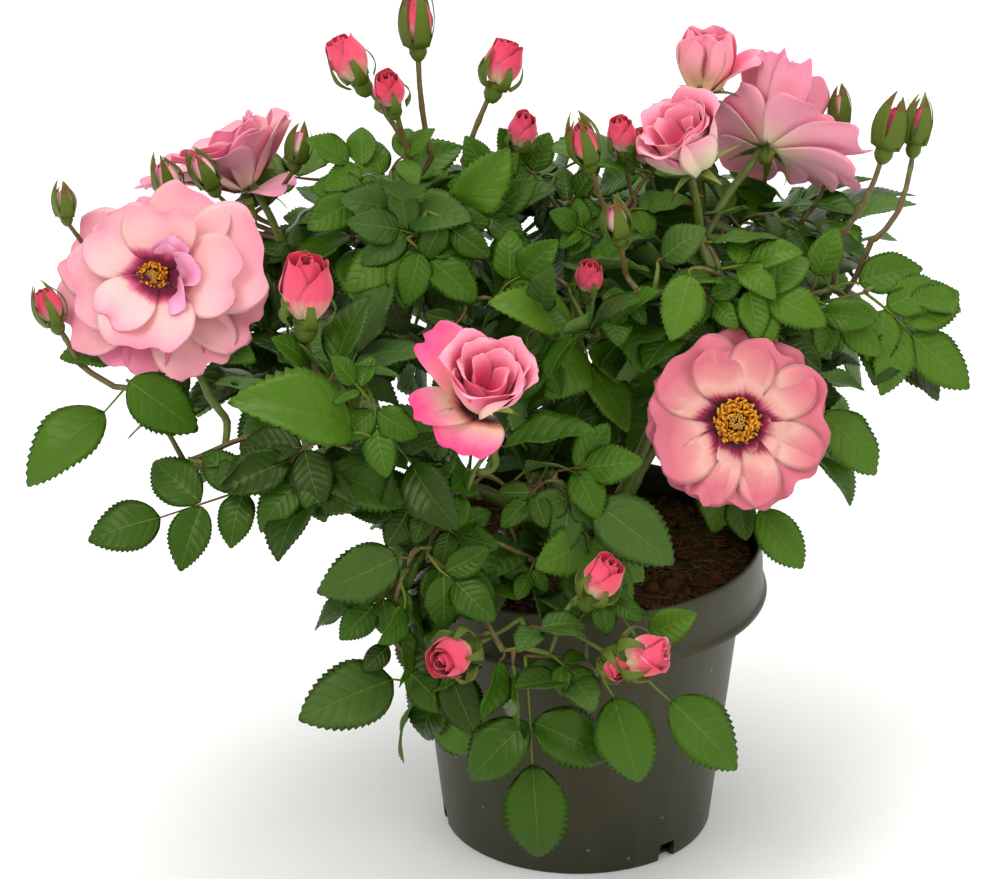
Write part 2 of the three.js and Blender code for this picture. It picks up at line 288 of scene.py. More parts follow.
def plantMaterial(name, tint, roughness, veined=True):
    material, tree, shader = newMaterial(name, {
        "Base Color": hexToLinear(tint),
        "Roughness": roughness,
        "IOR": 1.45,
        "Specular IOR Level": 0.34,
        "Specular Tint": hexToLinear(leafLook["sheen"]),
    })
    coords = addNode(tree, "ShaderNodeTexCoord")
    grain = addNode(tree, "ShaderNodeTexNoise", {"Scale": 1 / (leafLook["grain"] * mm), "Detail": 3.0},
                    {"Vector": coords.outputs["Object"]})
    height = grain.outputs["Fac"]
    if veined:  # side veins run forward from the midrib, the blade swells between them
        uv = addNode(tree, "ShaderNodeUVMap", {"uv_map": "surfaceUv"})
        split = addNode(tree, "ShaderNodeSeparateXYZ", None, {"Vector": uv.outputs["UV"]})
        across = addNode(tree, "ShaderNodeMath", {"operation": "SUBTRACT", 1: 0.5}, {0: split.outputs["X"]})
        out = addNode(tree, "ShaderNodeMath", {"operation": "ABSOLUTE"}, {0: across.outputs[0]})
        slant = addNode(tree, "ShaderNodeMath", {"operation": "MULTIPLY", 1: 2 * leafLook["veinSlant"]},
                        {0: out.outputs[0]})
        row = addNode(tree, "ShaderNodeMath", {"operation": "SUBTRACT"},
                      {0: split.outputs["Y"], 1: slant.outputs[0]})
        turns = addNode(tree, "ShaderNodeMath",
                        {"operation": "MULTIPLY", 1: math.pi * leafLook["veinPairs"]}, {0: row.outputs[0]})
        wave = addNode(tree, "ShaderNodeMath", {"operation": "SINE"}, {0: turns.outputs[0]})
        crest = addNode(tree, "ShaderNodeMath", {"operation": "ABSOLUTE"}, {0: wave.outputs[0]})
        swell = addNode(tree, "ShaderNodeMath", {"operation": "POWER", 1: 0.45}, {0: crest.outputs[0]})
        height = addNode(tree, "ShaderNodeMath", {"operation": "MULTIPLY_ADD", 1: 0.3},
                         {0: grain.outputs["Fac"], 2: swell.outputs[0]}).outputs[0]
    bump = addNode(tree, "ShaderNodeBump", {"Strength": 0.5, "Distance": leafLook["veinDepth"] * mm},
                   {"Height": height})
    tree.links.new(bump.outputs["Normal"], shader.inputs["Normal"])
    return material


leafMaterials = [plantMaterial(f"waxyLeaf{i + 1}", tint, leafLook["roughness"] + 0.02 * i)
                 for i, tint in enumerate(leafLook["shades"])]
underSlot = len(leafMaterials)
ribSlot = underSlot + 1
stalkSlot = underSlot + 2
redStalkSlot = underSlot + 3
leafMaterials += [
    plantMaterial("leafUnderside", leafLook["under"], 0.6),
    plantMaterial("leafMidrib", leafLook["rib"], 0.5, False),
    plantMaterial("greenStalk", leafLook["stalk"], 0.45, False),
    plantMaterial("redStalk", leafLook["redStalk"], 0.45, False),
]

# One leaflet: an oval saw-toothed blade with thickness, folded a little on its midrib
leafletForm = {
    "teeth": 16,
    "thickness": 0.34,
    "widest": 0.41,
    "toothOut": 0.017,
    "toothForward": 0.027,
    "stalkEnd": 0.35,
    "fullness": 0.68,
    "curl": 0.12,
    "ribHalf": 0.34,
    "columns": (-0.72, -0.38, 0.0, 0.38, 0.72),
}


def leafletGrid():
    teeth = leafletForm["teeth"]
    columns = leafletForm["columns"]
    wide = len(columns)
    u = []
    s = []
    saw = []
    for row in range(teeth + 1):
        for column in columns:
            u.append(column)
            s.append(row / teeth)
            saw.append(0)
    rim = {}
    for side in (-1, 1):
        rim[side] = len(u)
        for step in range(2 * teeth + 1):
            u.append(side)
            s.append(step / (2 * teeth))
            saw.append(1 if step % 2 else -0.35)
    top = len(u)
    lowerRow = {}
    for row in range(1, teeth):
        lowerRow[row] = len(u)
        for column in columns:
            u.append(column)
            s.append(row / teeth)
            saw.append(0)
    faces = []
    kinds = []
    for layer in (0, 1):
        def at(row, column):
            if layer and 0 < row < teeth:
                return lowerRow[row] + column
            return row * wide + column
        made = []
        for row in range(teeth):
            for column in range(wide - 1):
                a, b = at(row, column), at(row, column + 1)
                c, d = at(row + 1, column + 1), at(row + 1, column)
                made += [(a, b, c), (a, c, d)]
            a, b = at(row, wide - 1), at(row + 1, wide - 1)
            r = rim[1] + 2 * row
            made += [(a, r, r + 1), (a, r + 1, b), (b, r + 1, r + 2)]
            a, b = at(row, 0), at(row + 1, 0)
            r = rim[-1] + 2 * row
            made += [(a, r + 1, r), (a, b, r + 1), (b, r + 2, r + 1)]
        if layer:
            made = [face[::-1] for face in made]
        faces += made
        kinds += [layer] * len(made)
    return np.array(u), np.array(s), np.array(saw), top, np.array(faces), np.array(kinds)


gridU, gridS, gridSaw, gridTop, gridFaces, gridKinds = leafletGrid()


def halfWidthShare(s):
    peak = leafletForm["widest"]
    rise = leafletForm["fullness"]
    fall = rise * (1 - peak) / peak
    share = np.power(np.clip(s, 0, 1), rise) * np.power(np.clip(1 - s, 0, 1), fall)
    return share / (peak ** rise * (1 - peak) ** fall)


# the blade's surface in the leaflet's own axes: x across, y towards the tip, z up
def bladeSurface(u, s, length, half, bend):
    arch = max(0.02, bend["arch"])
    scale = length * (arch / 2) / math.sin(arch / 2)
    heading = arch / 2 - arch * s
    y = scale * (math.sin(arch / 2) - np.sin(heading)) / arch
    z = scale * (np.cos(heading) - math.cos(arch / 2)) / arch
    reach = half * halfWidthShare(s) + leafletForm["stalkEnd"]
    lift = np.abs(u) * reach
    x = u * reach * math.cos(bend["fold"])
    z = z + lift * math.sin(bend["fold"]) - bend["curl"] * reach * u * u
    z = z + bend["wave"] * np.sin(bend["phase"] + s * bend["waves"] * 6.28 + u) * u * u * reach
    z = z + bend["twist"] * x * s
    return np.stack([x, y, z], -1)


def addLeaflet(heap, base, tip, up, widthShare, shade, rng):
    base = np.asarray(base, float)
    tip = np.asarray(tip, float)
    length = np.linalg.norm(tip - base)
    half = length * widthShare / 2
    bend = {
        "arch": rng.uniform(0.3, 1.1),
        "fold": rng.uniform(0.12, 0.5),
        "curl": rng.uniform(0.5, 2.2) * leafletForm["curl"],
        "wave": rng.uniform(0.03, 0.12),
        "waves": rng.uniform(1.2, 2.4),
        "phase": rng.uniform(0, 6.28),
        "twist": rng.uniform(-0.25, 0.25),
    }
    points = bladeSurface(gridU, gridS, length, half, bend)
    ends = np.sin(np.pi * gridS) ** 0.5
    points[:, 0] += np.sign(gridU) * gridSaw * leafletForm["toothOut"] * length * ends * (np.abs(gridU) == 1)
    points[:, 1] += np.maximum(0, gridSaw) * leafletForm["toothForward"] * length * ends
    below = np.arange(len(gridU)) >= gridTop
    points[below, 2] -= leafletForm["thickness"]
    axes = axesAlong(tip - base, up)
    kinds = np.where(gridKinds == 0, shade, underSlot)
    heap.add(base + points @ axes, gridFaces, kinds, np.stack([(gridU + 1) / 2, gridS], 1))
    # the midrib, a low ridge that thins towards the tip
    rows = 8
    s = np.repeat(np.linspace(0.0, 0.93, rows + 1), 3)
    thin = 1 - 0.75 * s
    across = np.tile([-1.0, 0.0, 1.0], rows + 1) * leafletForm["ribHalf"] * thin
    rib = bladeSurface(across * 0, s, length, half, bend)
    rib[:, 0] += across
    rib[:, 2] += np.tile([-0.08, 0.14, -0.08], rows + 1)
    faces = []
    for row in range(rows):
        for j in range(3):
            a = row * 3 + j
            b = row * 3 + (j + 1) % 3
            faces += [(a, b, b + 3), (a, b + 3, a + 3)]
    heap.add(base + rib @ axes, faces, ribSlot, np.stack([across + 0.5, s], 1))


# One compound leaf: a bowed stalk with pairs of leaflets and one at its end
leafForm = {
    "pairPlaces": {1: [], 3: [0.6], 5: [0.74, 0.34], 7: [0.8, 0.52, 0.26]},
    "pairSizes": [0.9, 0.8, 0.66],
    "spread": math.radians(64),
    "widthShare": 0.67,
    "stalkRadius": (0.95, 0.5),
}


def addLeaf(heap, base, tip, up, leaflets, endShare, shade, rng):
    base = np.asarray(base, float)
    tip = np.asarray(tip, float)
    chord = tip - base
    total = np.linalg.norm(chord)
    endLength = total * endShare
    turnPoint = base + chord * (1 - endShare)
    bow = unit(up) * total * (1 - endShare) * rng.uniform(0.06, 0.14)
    side = np.cross(unit(chord), unit(up)) * total * rng.uniform(-0.05, 0.05)
    if endShare < 0.97:
        stalk = smoothPath([base, base + chord * (1 - endShare) * 0.5 + bow + side, turnPoint], 9)
        radii = np.linspace(*leafForm["stalkRadius"], len(stalk))
        addTube(heap, stalk, radii, 5, redStalkSlot if rng.random() < 0.3 else stalkSlot)
    else:
        stalk = np.array([base, base])
    widthShare = leafForm["widthShare"]
    addLeaflet(heap, turnPoint, tip, up, widthShare * rng.uniform(0.94, 1.06), shade, rng)
    for place, size in zip(leafForm["pairPlaces"][leaflets], leafForm["pairSizes"]):
        spot = stalk[int(round(place * (len(stalk) - 1)))]
        ahead = unit(stalk[-1] - stalk[-3]) if len(stalk) > 3 else unit(chord)
        right = unit(np.cross(ahead, unit(up)))
        for hand in (-1, 1):
            angle = leafForm["spread"] * rng.uniform(0.82, 1.12)
            heading = unit(ahead * math.cos(angle) + right * hand * math.sin(angle)
                           + np.array([0, 0, rng.uniform(-0.25, 0.05)]))
            reach = endLength * size * rng.uniform(0.9, 1.06)
            start = spot + heading * 1.2
            tilt = unit(unit(up) + heading * rng.uniform(-0.35, 0.1) + rng.normal(0, 0.12, 3))
            addLeaflet(heap, start, start + heading * reach, tilt,
                       widthShare * rng.uniform(0.95, 1.12), shade, rng)


# the way each bloom faces, so that no filling leaf grows across it
bloomAims = {
    "bloom_left": (-0.1, -0.77, 0.63),
    "bloom_back_left": (-0.32, 0.2, 0.92),
    "bloom_centre": (0.14, -0.45, 0.88),
    "bloom_front_right": (0.02, -0.93, 0.37),
    "bloom_top_right": (0.04, 0.05, 1.0),
    "bloom_upper": (-0.4, -0.3, 0.87),
    "bloom_right": (0.44, 0.66, 0.61),
}
frontView = unit((0.0, -0.9, 0.42))  # the side the bush is mostly looked at from
frontUp = unit((0.0, 0.42, 0.9))


# where each bud's swollen head starts and ends, and the stalk below it
def budHead(node):
    line, radii = limbLine(node, 26)
    wide = int(np.argmax(radii > 2.6))
    return line[wide], line[-1], line[:wide + 1]


budNodes = [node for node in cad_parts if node.startswith("bud")]
budHeads = {node: budHead(node) for node in budNodes}

# The masses: leaves listed one by one where each shows, and the rest grown by a seeded rule.
# "from" is the limb the mass grows on from, "fill" how many leaves the rule adds. A listed leaf
# is: foot, tip, facing, leaflets, share of its length that is the end leaflet, shade; foot and
# tip are in mm from the middle of the mass's solid.
facings = {
    "front": (0.0, -0.85, 0.55),
    "up": (0.0, -0.45, 0.9),
    "left": (-0.85, -0.4, 0.4),
    "right": (0.85, -0.4, 0.4),
    "frontLeft": (-0.35, -0.75, 0.6),
    "frontRight": (0.35, -0.75, 0.6),
    "flat": (0.0, -0.1, 1.0),
}
massPlans = {
    "leaves_left_outer": {"from": "bough_left_outer", "fill": 0, "seed": 7, "leaves": [
        ((36, 14, 40), (-41, -20, -27), "frontLeft", 1, 0.5, 3),
        ((10, -18, 31), (45, -21, 4), "front", 1, 0.97, 2),
        ((46, 12, 36), (74, -4, 34), "up", 1, 0.9, 2),
        ((18, 12, 33), (-25, 8, 31), "up", 1, 0.7, 2),
        ((40, 10, 38), (20, 0, 0), "frontRight", 1, 0.8, 1),
    ]},
    "leaves_left_low": {"from": "bough_left_outer", "fill": 0, "seed": 11, "leaves": [
        ((84, 12, 21), (-36, -8, -13), "front", 7, 0.3, 1),
    ]},
    "leaves_left_middle": {"from": "cane_left", "fill": 9, "seed": 5, "leaves": [
        ((30, -24, 13), (-39, -46, 41), "up", 1, 0.88, 3),
        ((12, -10, 4), (-44, -22, -18), "front", 3, 0.6, 0),
        ((7, -14, 1), (-25, -28, -37), "front", 3, 0.62, 1),
        ((-3, -14, -6), (46, -26, -25), "front", 1, 0.8, 1),
        ((30, -18, 29), (11, -22, 55), "up", 3, 0.6, 2),
        ((15, 6, 19), (-19, 0, 55), "up", 3, 0.55, 2),
        ((28, -10, 34), (38, -34, -5), "front", 3, 0.55, 2),
    ]},
    "leaves_lower_left": {"from": "cane_front", "fill": 3, "reach": 0.7, "seed": 14, "leaves": [
        ((27, 0, 50), (-23, -22, 36), "front", 1, 0.8, 5),
        ((23, -2, -18), (-33, -22, -35), "front", 1, 0.84, 5),
        ((22, 2, 37), (-12, -18, 8), "front", 5, 0.5, 1),
        ((18, -10, 36), (17, -20, -18), "right", 3, 0.6, 2),
        ((15, -2, 0), (-1, -10, -14), "front", 1, 0.8, 0),
        ((20, -8, -13), (41, -14, -35), "up", 1, 0.9, 1),
    ]},
    "leaves_front_cluster": {"from": "cane_front", "fill": 4, "seed": 17, "leaves": [
        ((-59, 10, 45), (-26, -12, 19), "front", 3, 0.62, 1),
        ((-22, -8, 1), (-34, -14, -35), "right", 1, 0.85, 2),
        ((-17, -8, -7), (-11, -12, -48), "left", 1, 0.85, 2),
        ((45, -2, 4), (74, -6, 21), "front", 1, 0.8, 3),
        ((1, -10, 0), (26, -16, -19), "up", 3, 0.6, 2),
        ((20, 4, 29), (47, -8, 17), "front", 3, 0.6, 1),
    ]},
    "leaves_front_hanging": {"from": "bough_front_low", "fill": 0, "seed": 19, "leaves": [
        ((-36, -2, 73), (-29, -8, -38), "front", 3, 0.47, 1),
        ((2, -4, 74), (21, -10, 6), "front", 1, 0.68, 2),
        ((19, -2, 68), (70, -8, 12), "frontRight", 1, 0.66, 2),
    ]},
    "leaves_centre": {"from": "cane_front", "fill": 17, "seed": 3, "leaves": [
        ((-2, -20, 39), (50, -28, 51), "flat", 1, 0.9, 2),
        ((-30, -24, -3), (1, -36, -8), "front", 3, 0.7, 1),
        ((37, -16, 18), (32, -32, -14), "front", 3, 0.72, 5),
        ((24, -18, 20), (2, -32, 1), "front", 3, 0.6, 1),
        ((42, -20, 15), (88, -34, -18), "front", 1, 0.86, 5),
        ((30, -14, 24), (73, -20, 32), "front", 3, 0.7, 2),
        ((-25, -28, 12), (-74, -36, 12), "front", 5, 0.5, 0),
        ((-15, -28, 20), (-40, -36, 12), "front", 3, 0.7, 2),
        ((-35, -32, -17), (-1, -42, -32), "front", 3, 0.7, 1),
        ((19, -20, -23), (9, -32, -39), "front", 3, 0.7, 2),
    ]},
    "leaves_inner_high": {"from": "cane_top", "fill": 9, "seed": 31, "leaves": [
        ((17, -16, -3), (-33, -32, 17), "up", 1, 0.85, 4),
        ((-29, -12, 10), (2, -20, 46), "front", 3, 0.6, 2),
        ((-9, -20, -3), (-1, -28, 35), "front", 3, 0.65, 5),
        ((1, -28, -10), (-18, -38, -34), "front", 3, 0.65, 1),
        ((-44, -16, 6), (-65, -32, -12), "front", 3, 0.62, 0),
        ((21, -16, -5), (53, -22, 19), "up", 3, 0.6, 2),
    ]},
    "leaves_upper_middle": {"from": "cane_top", "fill": 6, "seed": 23, "leaves": [
        ((-12, 0, 27), (-60, -4, 56), "up", 5, 0.45, 3),
        ((-19, -10, 35), (-59, -28, 17), "front", 3, 0.62, 2),
        ((5, -20, 11), (-39, -38, 25), "front", 5, 0.6, 5),
        ((-2, -26, 13), (-40, -42, -11), "front", 3, 0.7, 3),
        ((0, -28, 6), (-11, -40, -17), "front", 1, 0.85, 1),
        ((9, -24, 16), (42, -18, 57), "front", 1, 0.8, 3),
        ((38, -4, 23), (20, -2, 57), "front", 3, 0.6, 2),
        ((25, -18, 14), (56, -14, 38), "front", 3, 0.7, 1),
        ((-9, -32, 14), (26, -44, -16), "front", 3, 0.7, 2),
        ((1, -28, 27), (33, -42, 8), "front", 3, 0.62, 1),
        ((-17, -4, 39), (5, 0, 60), "up", 3, 0.65, 3),
    ]},
    "leaves_upper_left": {"from": "cane_left_back", "fill": 6, "seed": 29, "leaves": [
        ((-11, -18, -27), (-46, -26, -18), "up", 3, 0.6, 1),
        ((-7, -12, -10), (-27, -28, -34), "front", 3, 0.62, 2),
    ]},
    "leaves_top": {"from": "cane_middle_back", "fill": 7, "seed": 37, "leaves": [
        ((32, -8, 6), (-20, -24, 24), "up", 1, 0.85, 2),
        ((-24, -12, -2), (-45, -8, 30), "front", 3, 0.62, 2),
        ((-14, -24, -11), (6, -22, 14), "front", 3, 0.62, 1),
        ((6, -32, -21), (-20, -42, -2), "front", 5, 0.55, 2),
        ((16, -18, -14), (52, -22, -4), "up", 3, 0.6, 3),
    ]},
    "leaves_right_centre": {"from": "cane_right_front", "fill": 10, "seed": 41, "leaves": [
        ((-27, -2, 26), (-3, -4, 45), "front", 1, 0.9, 5),
        ((-10, -12, 27), (-21, -32, -4), "front", 1, 0.9, 4),
        ((-3, 4, 34), (34, 2, 37), "flat", 1, 0.9, 2),
        ((14, -6, 17), (57, -22, 0), "front", 5, 0.68, 3),
        ((4, -2, 22), (46, -2, 31), "up", 3, 0.65, 3),
        ((-37, -12, 15), (-51, -22, -2), "front", 3, 0.6, 1),
        ((24, -8, -3), (55, -22, -25), "front", 3, 0.6, 0),
        ((-6, -2, 13), (13, -22, -2), "front", 3, 0.6, 2),
    ]},
    "leaves_right_upper": {"from": "cane_right", "fill": 9, "seed": 43},
    "leaves_right_spray": {"from": "cane_right", "fill": 2, "seed": 47, "leaves": [
        ((-23, -18, 8), (-8, -10, 42), "front", 1, 0.7, 3),
        ((-19, -28, 10), (14, -40, -15), "front", 3, 0.6, 3),
        ((-11, -14, 10), (36, -6, 18), "up", 1, 0.7, 2),
        ((-29, -34, 7), (11, -40, 4), "front", 1, 0.7, 2),
    ]},
    "leaves_right_tip": {"from": "cane_right", "fill": 0, "seed": 53, "leaves": [
        ((-36, -4, 31), (18, -12, -19), "frontRight", 5, 0.56, 3),
        ((-30, 0, 32), (14, 8, 15), "up", 1, 0.62, 3),
    ]},
    "leaves_right_low": {"from": "cane_right_front", "fill": 1, "seed": 59, "leaves": [
        ((-24, -2, 27), (14, -10, -15), "front", 1, 0.74, 3),
    ]},
    "leaves_right_under": {"from": "cane_right_front", "fill": 0, "seed": 61, "leaves": [
        ((-22, -2, 23), (8, -12, -17), "front", 1, 0.74, 3),
        ((-26, 8, 22), (-20, 2, -8), "frontLeft", 1, 0.8, 1),
    ]},
    "leaves_right_side": {"from": "cane_right", "fill": 17, "seed": 67},
    "leaves_left_side": {"from": "cane_left_back", "fill": 17, "seed": 71},
    "leaves_back_left": {"from": "cane_left_back", "fill": 20, "seed": 73},
    "leaves_back_middle": {"from": "cane_middle_back", "fill": 20, "seed": 79},
    "leaves_back_right": {"from": "cane_middle_back", "fill": 18, "seed": 83},
    "leaves_back_low": {"from": "cane_middle_back", "fill": 16, "seed": 89},
}
twigForm = {
    "thick": 1.7, "thin": 0.9, "reach": 1.08,  # how far leaf tips go, 1 at the mass's solid
    "gap": 13.0, "skyline": 350.0, "tries": 8, "start": (0.22, 0.55), "startFar": 0.75,
    "leafLength": (70, 112), "shortest": 60, "fiveFrom": 84,  # longer leaves have five leaflets
    "endLeaf": (40, 50), "mostEndShare": 0.7, "inside": 0.4,
    # leaves deep inside a mass take the darkest tints: painted shade for the shadowed inside of the bush
    "insidePaintedShadeTints": [0, 1, 5, 1], "outsideShades": [1, 2, 3, 2, 0, 3, 5],
}
crownLow, crownHigh = np.array(cadBounds[0]) / mm, np.array(cadBounds[1]) / mm


# small buds that stand among the others: solid they stand by, place from its middle, the way they
# point, radius, length, how far open, and where their stalk starts from their place
coral, green = ("coralFace", "coralBack"), ("coralBack", "ivoryBack")
smallBuds = [
    ("leaves_top", (-35, -14, 22), (0.2, -0.2, 1.0), 8, 22, 0.9, coral, (-10, 10, -26)),
    ("leaves_top", (18, -18, 21), (-0.1, -0.2, 1.0), 8, 22, 0.9, coral, (6, 2, -30)),
    ("leaves_top", (31, 0, 7), (-0.2, -0.1, 1.0), 8, 22, 0.9, coral, (4, 4, -22)),
    ("leaves_right_centre", (-62, 0, 9), (0.1, -0.3, 1.0), 8.5, 20, 0.8, coral, (6, 0, -24)),
    ("bloom_back_left", (-30, -32, -8), (-0.25, -0.1, 1.0), 8, 24, 0.25, green, (34, 26, -30)),
    ("bloom_back_left", (-10, -34, -2), (-0.45, -0.1, 1.0), 7, 24, 0.1, green, (20, 30, -34)),
    ("bloom_back_left", (32, -10, 2), (0.2, 0.1, 1.0), 7, 20, 0.25, green, (-22, 10, -34)),
    ("bloom_left", (-46, 20, 24), (-0.1, 0.0, 1.0), 6, 18, 0.1, green, (24, 4, -34)),
    ("bloom_right", (27, 2, 0), (0.0, 0.1, 1.0), 6, 20, 0.1, green, (-10, 4, -44)),
    ("leaves_front_cluster", (-41, -14, 4), (-0.5, -0.75, 0.1), 14, 25, 1.0, coral, (28, 18, 8)),
    ("leaves_front_cluster", (31, -18, 1), (0.3, -0.85, -0.1), 9, 18, 0.5, coral, (-30, 16, 12)),
]

# what a filling leaf keeps clear of: a place, the way it is looked at, and how wide
def keepClearPlaces():
    places = []
    for name, aim in bloomAims.items():
        low, high = boxOf(name)
        wide = (high - low).max() / 2 + 4
        places += [((low + high) / 2, unit(aim), wide), ((low + high) / 2, frontView, wide)]
    for headFoot, tip, stalk in budHeads.values():
        places.append(((headFoot + tip) / 2, frontView, 15.0))
    for solid, place, aim, radius, length, show, looks, stalkStart in smallBuds:
        places.append((middleOf(solid) + place + unit(aim) * length * 0.5, frontView, radius + 3.0))
    for name, plan in massPlans.items():
        for foot, tip, facing, leaflets, endShare, shade in plan.get("leaves", []):
            foot, tip = np.array(foot), np.array(tip)
            spot = middleOf(name) + tip - (tip - foot) * endShare * 0.5
            places.append((spot, frontView, np.linalg.norm(tip - foot) * endShare * 0.34))
    return places


def isInTheWay(foot, tip, side, places):
    shares = np.array([0.3, 0.55, 0.8, 1.0])
    spine = foot + np.outer(shares, tip - foot)
    reach = np.linalg.norm(tip - foot) * 0.34
    points = np.concatenate([spine, spine[1:3] + side * reach, spine[1:3] - side * reach])
    if (points @ frontUp).max() > twigForm["skyline"]:
        return True
    for spot, aim, wide in places:
        away = points - spot
        ahead = away @ aim
        beside = np.linalg.norm(away - np.outer(ahead, aim), axis=1)
        if np.any((ahead > -7) & (ahead < 110) & (beside < wide)):
            return True
    return False


clearPlaces = keepClearPlaces()


# how far a point stands from the middle of a mass, 1 at its solid's outside
def massReach(middle, half, point):
    return np.linalg.norm((point - middle) / half)


# a new twig to a leaf's foot, from the nearest point of those that the mass has so far
def reachWithTwig(foot, grown, twigHeap, rng):
    nearest = grown[np.argmin(np.linalg.norm(grown - foot, axis=1))]
    span = np.linalg.norm(foot - nearest)
    if span < 1.5:
        return grown
    bend = (nearest + foot) / 2 + np.array([0, 0, 0.1 * span]) + rng.normal(0, 0.05 * span, 3)
    twig = smoothPath([nearest, bend, foot], max(4, int(span / 4)))
    addTube(twigHeap, twig, np.linspace(twigForm["thick"], twigForm["thin"], len(twig)), 6,
            int(rng.random() < 0.45), 0.03, rng)
    return np.concatenate([grown, twig])


def growMass(name, plan, twigHeap):
    rng = np.random.default_rng(plan["seed"])
    low, high = boxOf(name)
    middle, half = (low + high) / 2, (high - low) / 2
    heap = Heap()
    line = limbLine(plan["from"])[0]
    grown = line[-3:]
    feet = []
    handLeaves = sorted(plan.get("leaves", []), key=lambda leaf: np.linalg.norm(middle + leaf[0] - line[-1]))
    for foot, tip, facing, leaflets, endShare, shade in handLeaves:
        place = middle + np.array(foot)
        grown = reachWithTwig(place, grown, twigHeap, rng)
        turned = unit(facings[facing]) + rng.normal(0, 0.16, 3)
        addLeaf(heap, place, middle + np.array(tip), turned, leaflets, endShare, shade, rng)
        feet.append(place)
    reach = plan.get("reach", twigForm["reach"])
    shortest = twigForm["shortest"]
    for k in range(plan["fill"]):
        rise = 1 - 2 * (k + 0.5) / plan["fill"]
        turn = k * goldenTurn + plan["seed"]
        flat = math.sqrt(1 - rise * rise)
        aim = np.array([math.cos(turn) * flat, math.sin(turn) * flat, rise])
        place = middle + aim * half * rng.uniform(*twigForm["start"])
        if feet and min(np.linalg.norm(place - other) for other in feet) < twigForm["gap"]:
            place = middle + aim * half * twigForm["startFar"]
        outward = unit(aim / half)
        for attempt in range(twigForm["tries"]):
            heading = unit(outward + rng.normal(0, 0.4 + 0.08 * attempt, 3) + np.array([0, 0, -0.1]))
            length = rng.uniform(*twigForm["leafLength"])
            while length > shortest and massReach(middle, half, place + heading * length) > reach:
                length *= 0.95
            tip = np.clip(place + heading * length, crownLow + 2, crownHigh - 2)
            facing = unit(np.array([0, 0, 1.0]) + heading * rng.uniform(-0.2, 0.5) + rng.normal(0, 0.34, 3))
            if not isInTheWay(place, tip, unit(np.cross(heading, facing)), clearPlaces):
                break
        else:
            continue
        feet.append(place)
        grown = reachWithTwig(place, grown, twigHeap, rng)
        leaflets = 5 if length > twigForm["fiveFrom"] else 3
        # a leaf near the middle of its mass takes a darker tint: painted shade
        inside = massReach(middle, half, place) < twigForm["inside"]
        shade = rng.choice(twigForm["insidePaintedShadeTints"] if inside else twigForm["outsideShades"])
        endShare = min(twigForm["mostEndShare"], rng.uniform(*twigForm["endLeaf"]) / length)
        addLeaf(heap, place, tip, facing, leaflets, endShare, shade, rng)
    return makePiece(name.replace("leaves", "sprays"), heap, leafMaterials, [name])


twigHeap = Heap()
leafCount = 0
for massName, plan in massPlans.items():
    piece = growMass(massName, plan, twigHeap)
    leafCount += len(piece.data.polygons)
print("sprays grown,", leafCount, "faces")

# Stems: smooth green rose bark, reddish on the young shoots, with ridges and prickles.
# It gives a satin olive surface, mottled along the shoot.
stemLook = {"green": "#56691c", "old": "#5c4f26", "young": "#5c4522", "prickle": "#84543a", "mottle": 5.0}


def stemMaterial(name, tint, other, share):
    material, tree, shader = newMaterial(name, {"Roughness": 0.48, "IOR": 1.47})
    coords = addNode(tree, "ShaderNodeTexCoord")
    mottle = addNode(tree, "ShaderNodeTexNoise", {"Scale": 1 / (stemLook["mottle"] * mm), "Detail": 4.0},
                     {"Vector": coords.outputs["Object"]})
    ramp = addNode(tree, "ShaderNodeValToRGB", {"stops": [(share, tint), (share + 0.25, other)]},
                   {"Fac": mottle.outputs["Fac"]})
    tree.links.new(ramp.outputs["Color"], shader.inputs["Base Color"])
    fine = addNode(tree, "ShaderNodeTexNoise", {"Scale": 1 / (1.2 * mm), "Detail": 2.0},
                   {"Vector": coords.outputs["Object"]})
    bump = addNode(tree, "ShaderNodeBump", {"Strength": 0.4, "Distance": 0.3 * mm},
                   {"Height": fine.outputs["Fac"]})
    tree.links.new(bump.outputs["Normal"], shader.inputs["Normal"])
    return material


stemMaterials = [
    stemMaterial("greenRoseBark", stemLook["green"], stemLook["old"], 0.5),
    stemMaterial("youngRoseBark", stemLook["young"], stemLook["green"], 0.45),
    stemMaterial("pricklePoint", stemLook["prickle"], stemLook["young"], 0.5),
]


def addPrickle(heap, place, outward, along, length):
    curve = smoothPath([place, place + outward * length * 0.6 - along * length * 0.1,
                        place + outward * length - along * length * 0.45], 4)
    addTube(heap, curve, [length * 0.33, length * 0.2, length * 0.1, 0.05], 5, 2)


def addStem(heap, line, radii, slot, rng, prickles=True):
    length = np.linalg.norm(np.diff(line, axis=0), axis=1).sum()
    path = smoothPath(line, max(8, int(length / 3)))
    wide = np.interp(np.linspace(0, 1, len(path)), np.linspace(0, 1, len(radii)), radii)
    joints = 1 + 0.16 * np.exp(-((np.arange(len(path)) % 9) - 4.0) ** 2 / 1.2)
    addTube(heap, path, wide * joints, 9, slot, 0.025, rng)
    for k in range(int(length / 14) if prickles else 0):
        i = int(rng.uniform(0.1, 0.95) * (len(path) - 2)) + 1
        along = unit(path[min(i + 1, len(path) - 1)] - path[i - 1])
        axes = axesAlong(along, rng.normal(0, 1, 3))
        addPrickle(heap, path[i] + axes[2] * wide[i] * 0.8, axes[2], along, rng.uniform(2.2, 3.6))


stemRng = np.random.default_rng(101)
caneNames = sorted(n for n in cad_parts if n.startswith("cane"))
for cane in caneNames:
    heap = Heap()
    line, radii = limbLine(cane)
    foot = line[0] + (line[0] - line[1]) * 0.6
    addStem(heap, np.concatenate([[foot], line]), np.concatenate([[radii[0] * 1.35], radii]), 0, stemRng)
    makePiece(cane.replace("cane", "bark"), heap, stemMaterials, [cane])
# points of the wood so far, for the next stems to spring from
woodPoints = np.concatenate([limbLine(node, 30)[0] for node in caneNames] + twigHeap.points)


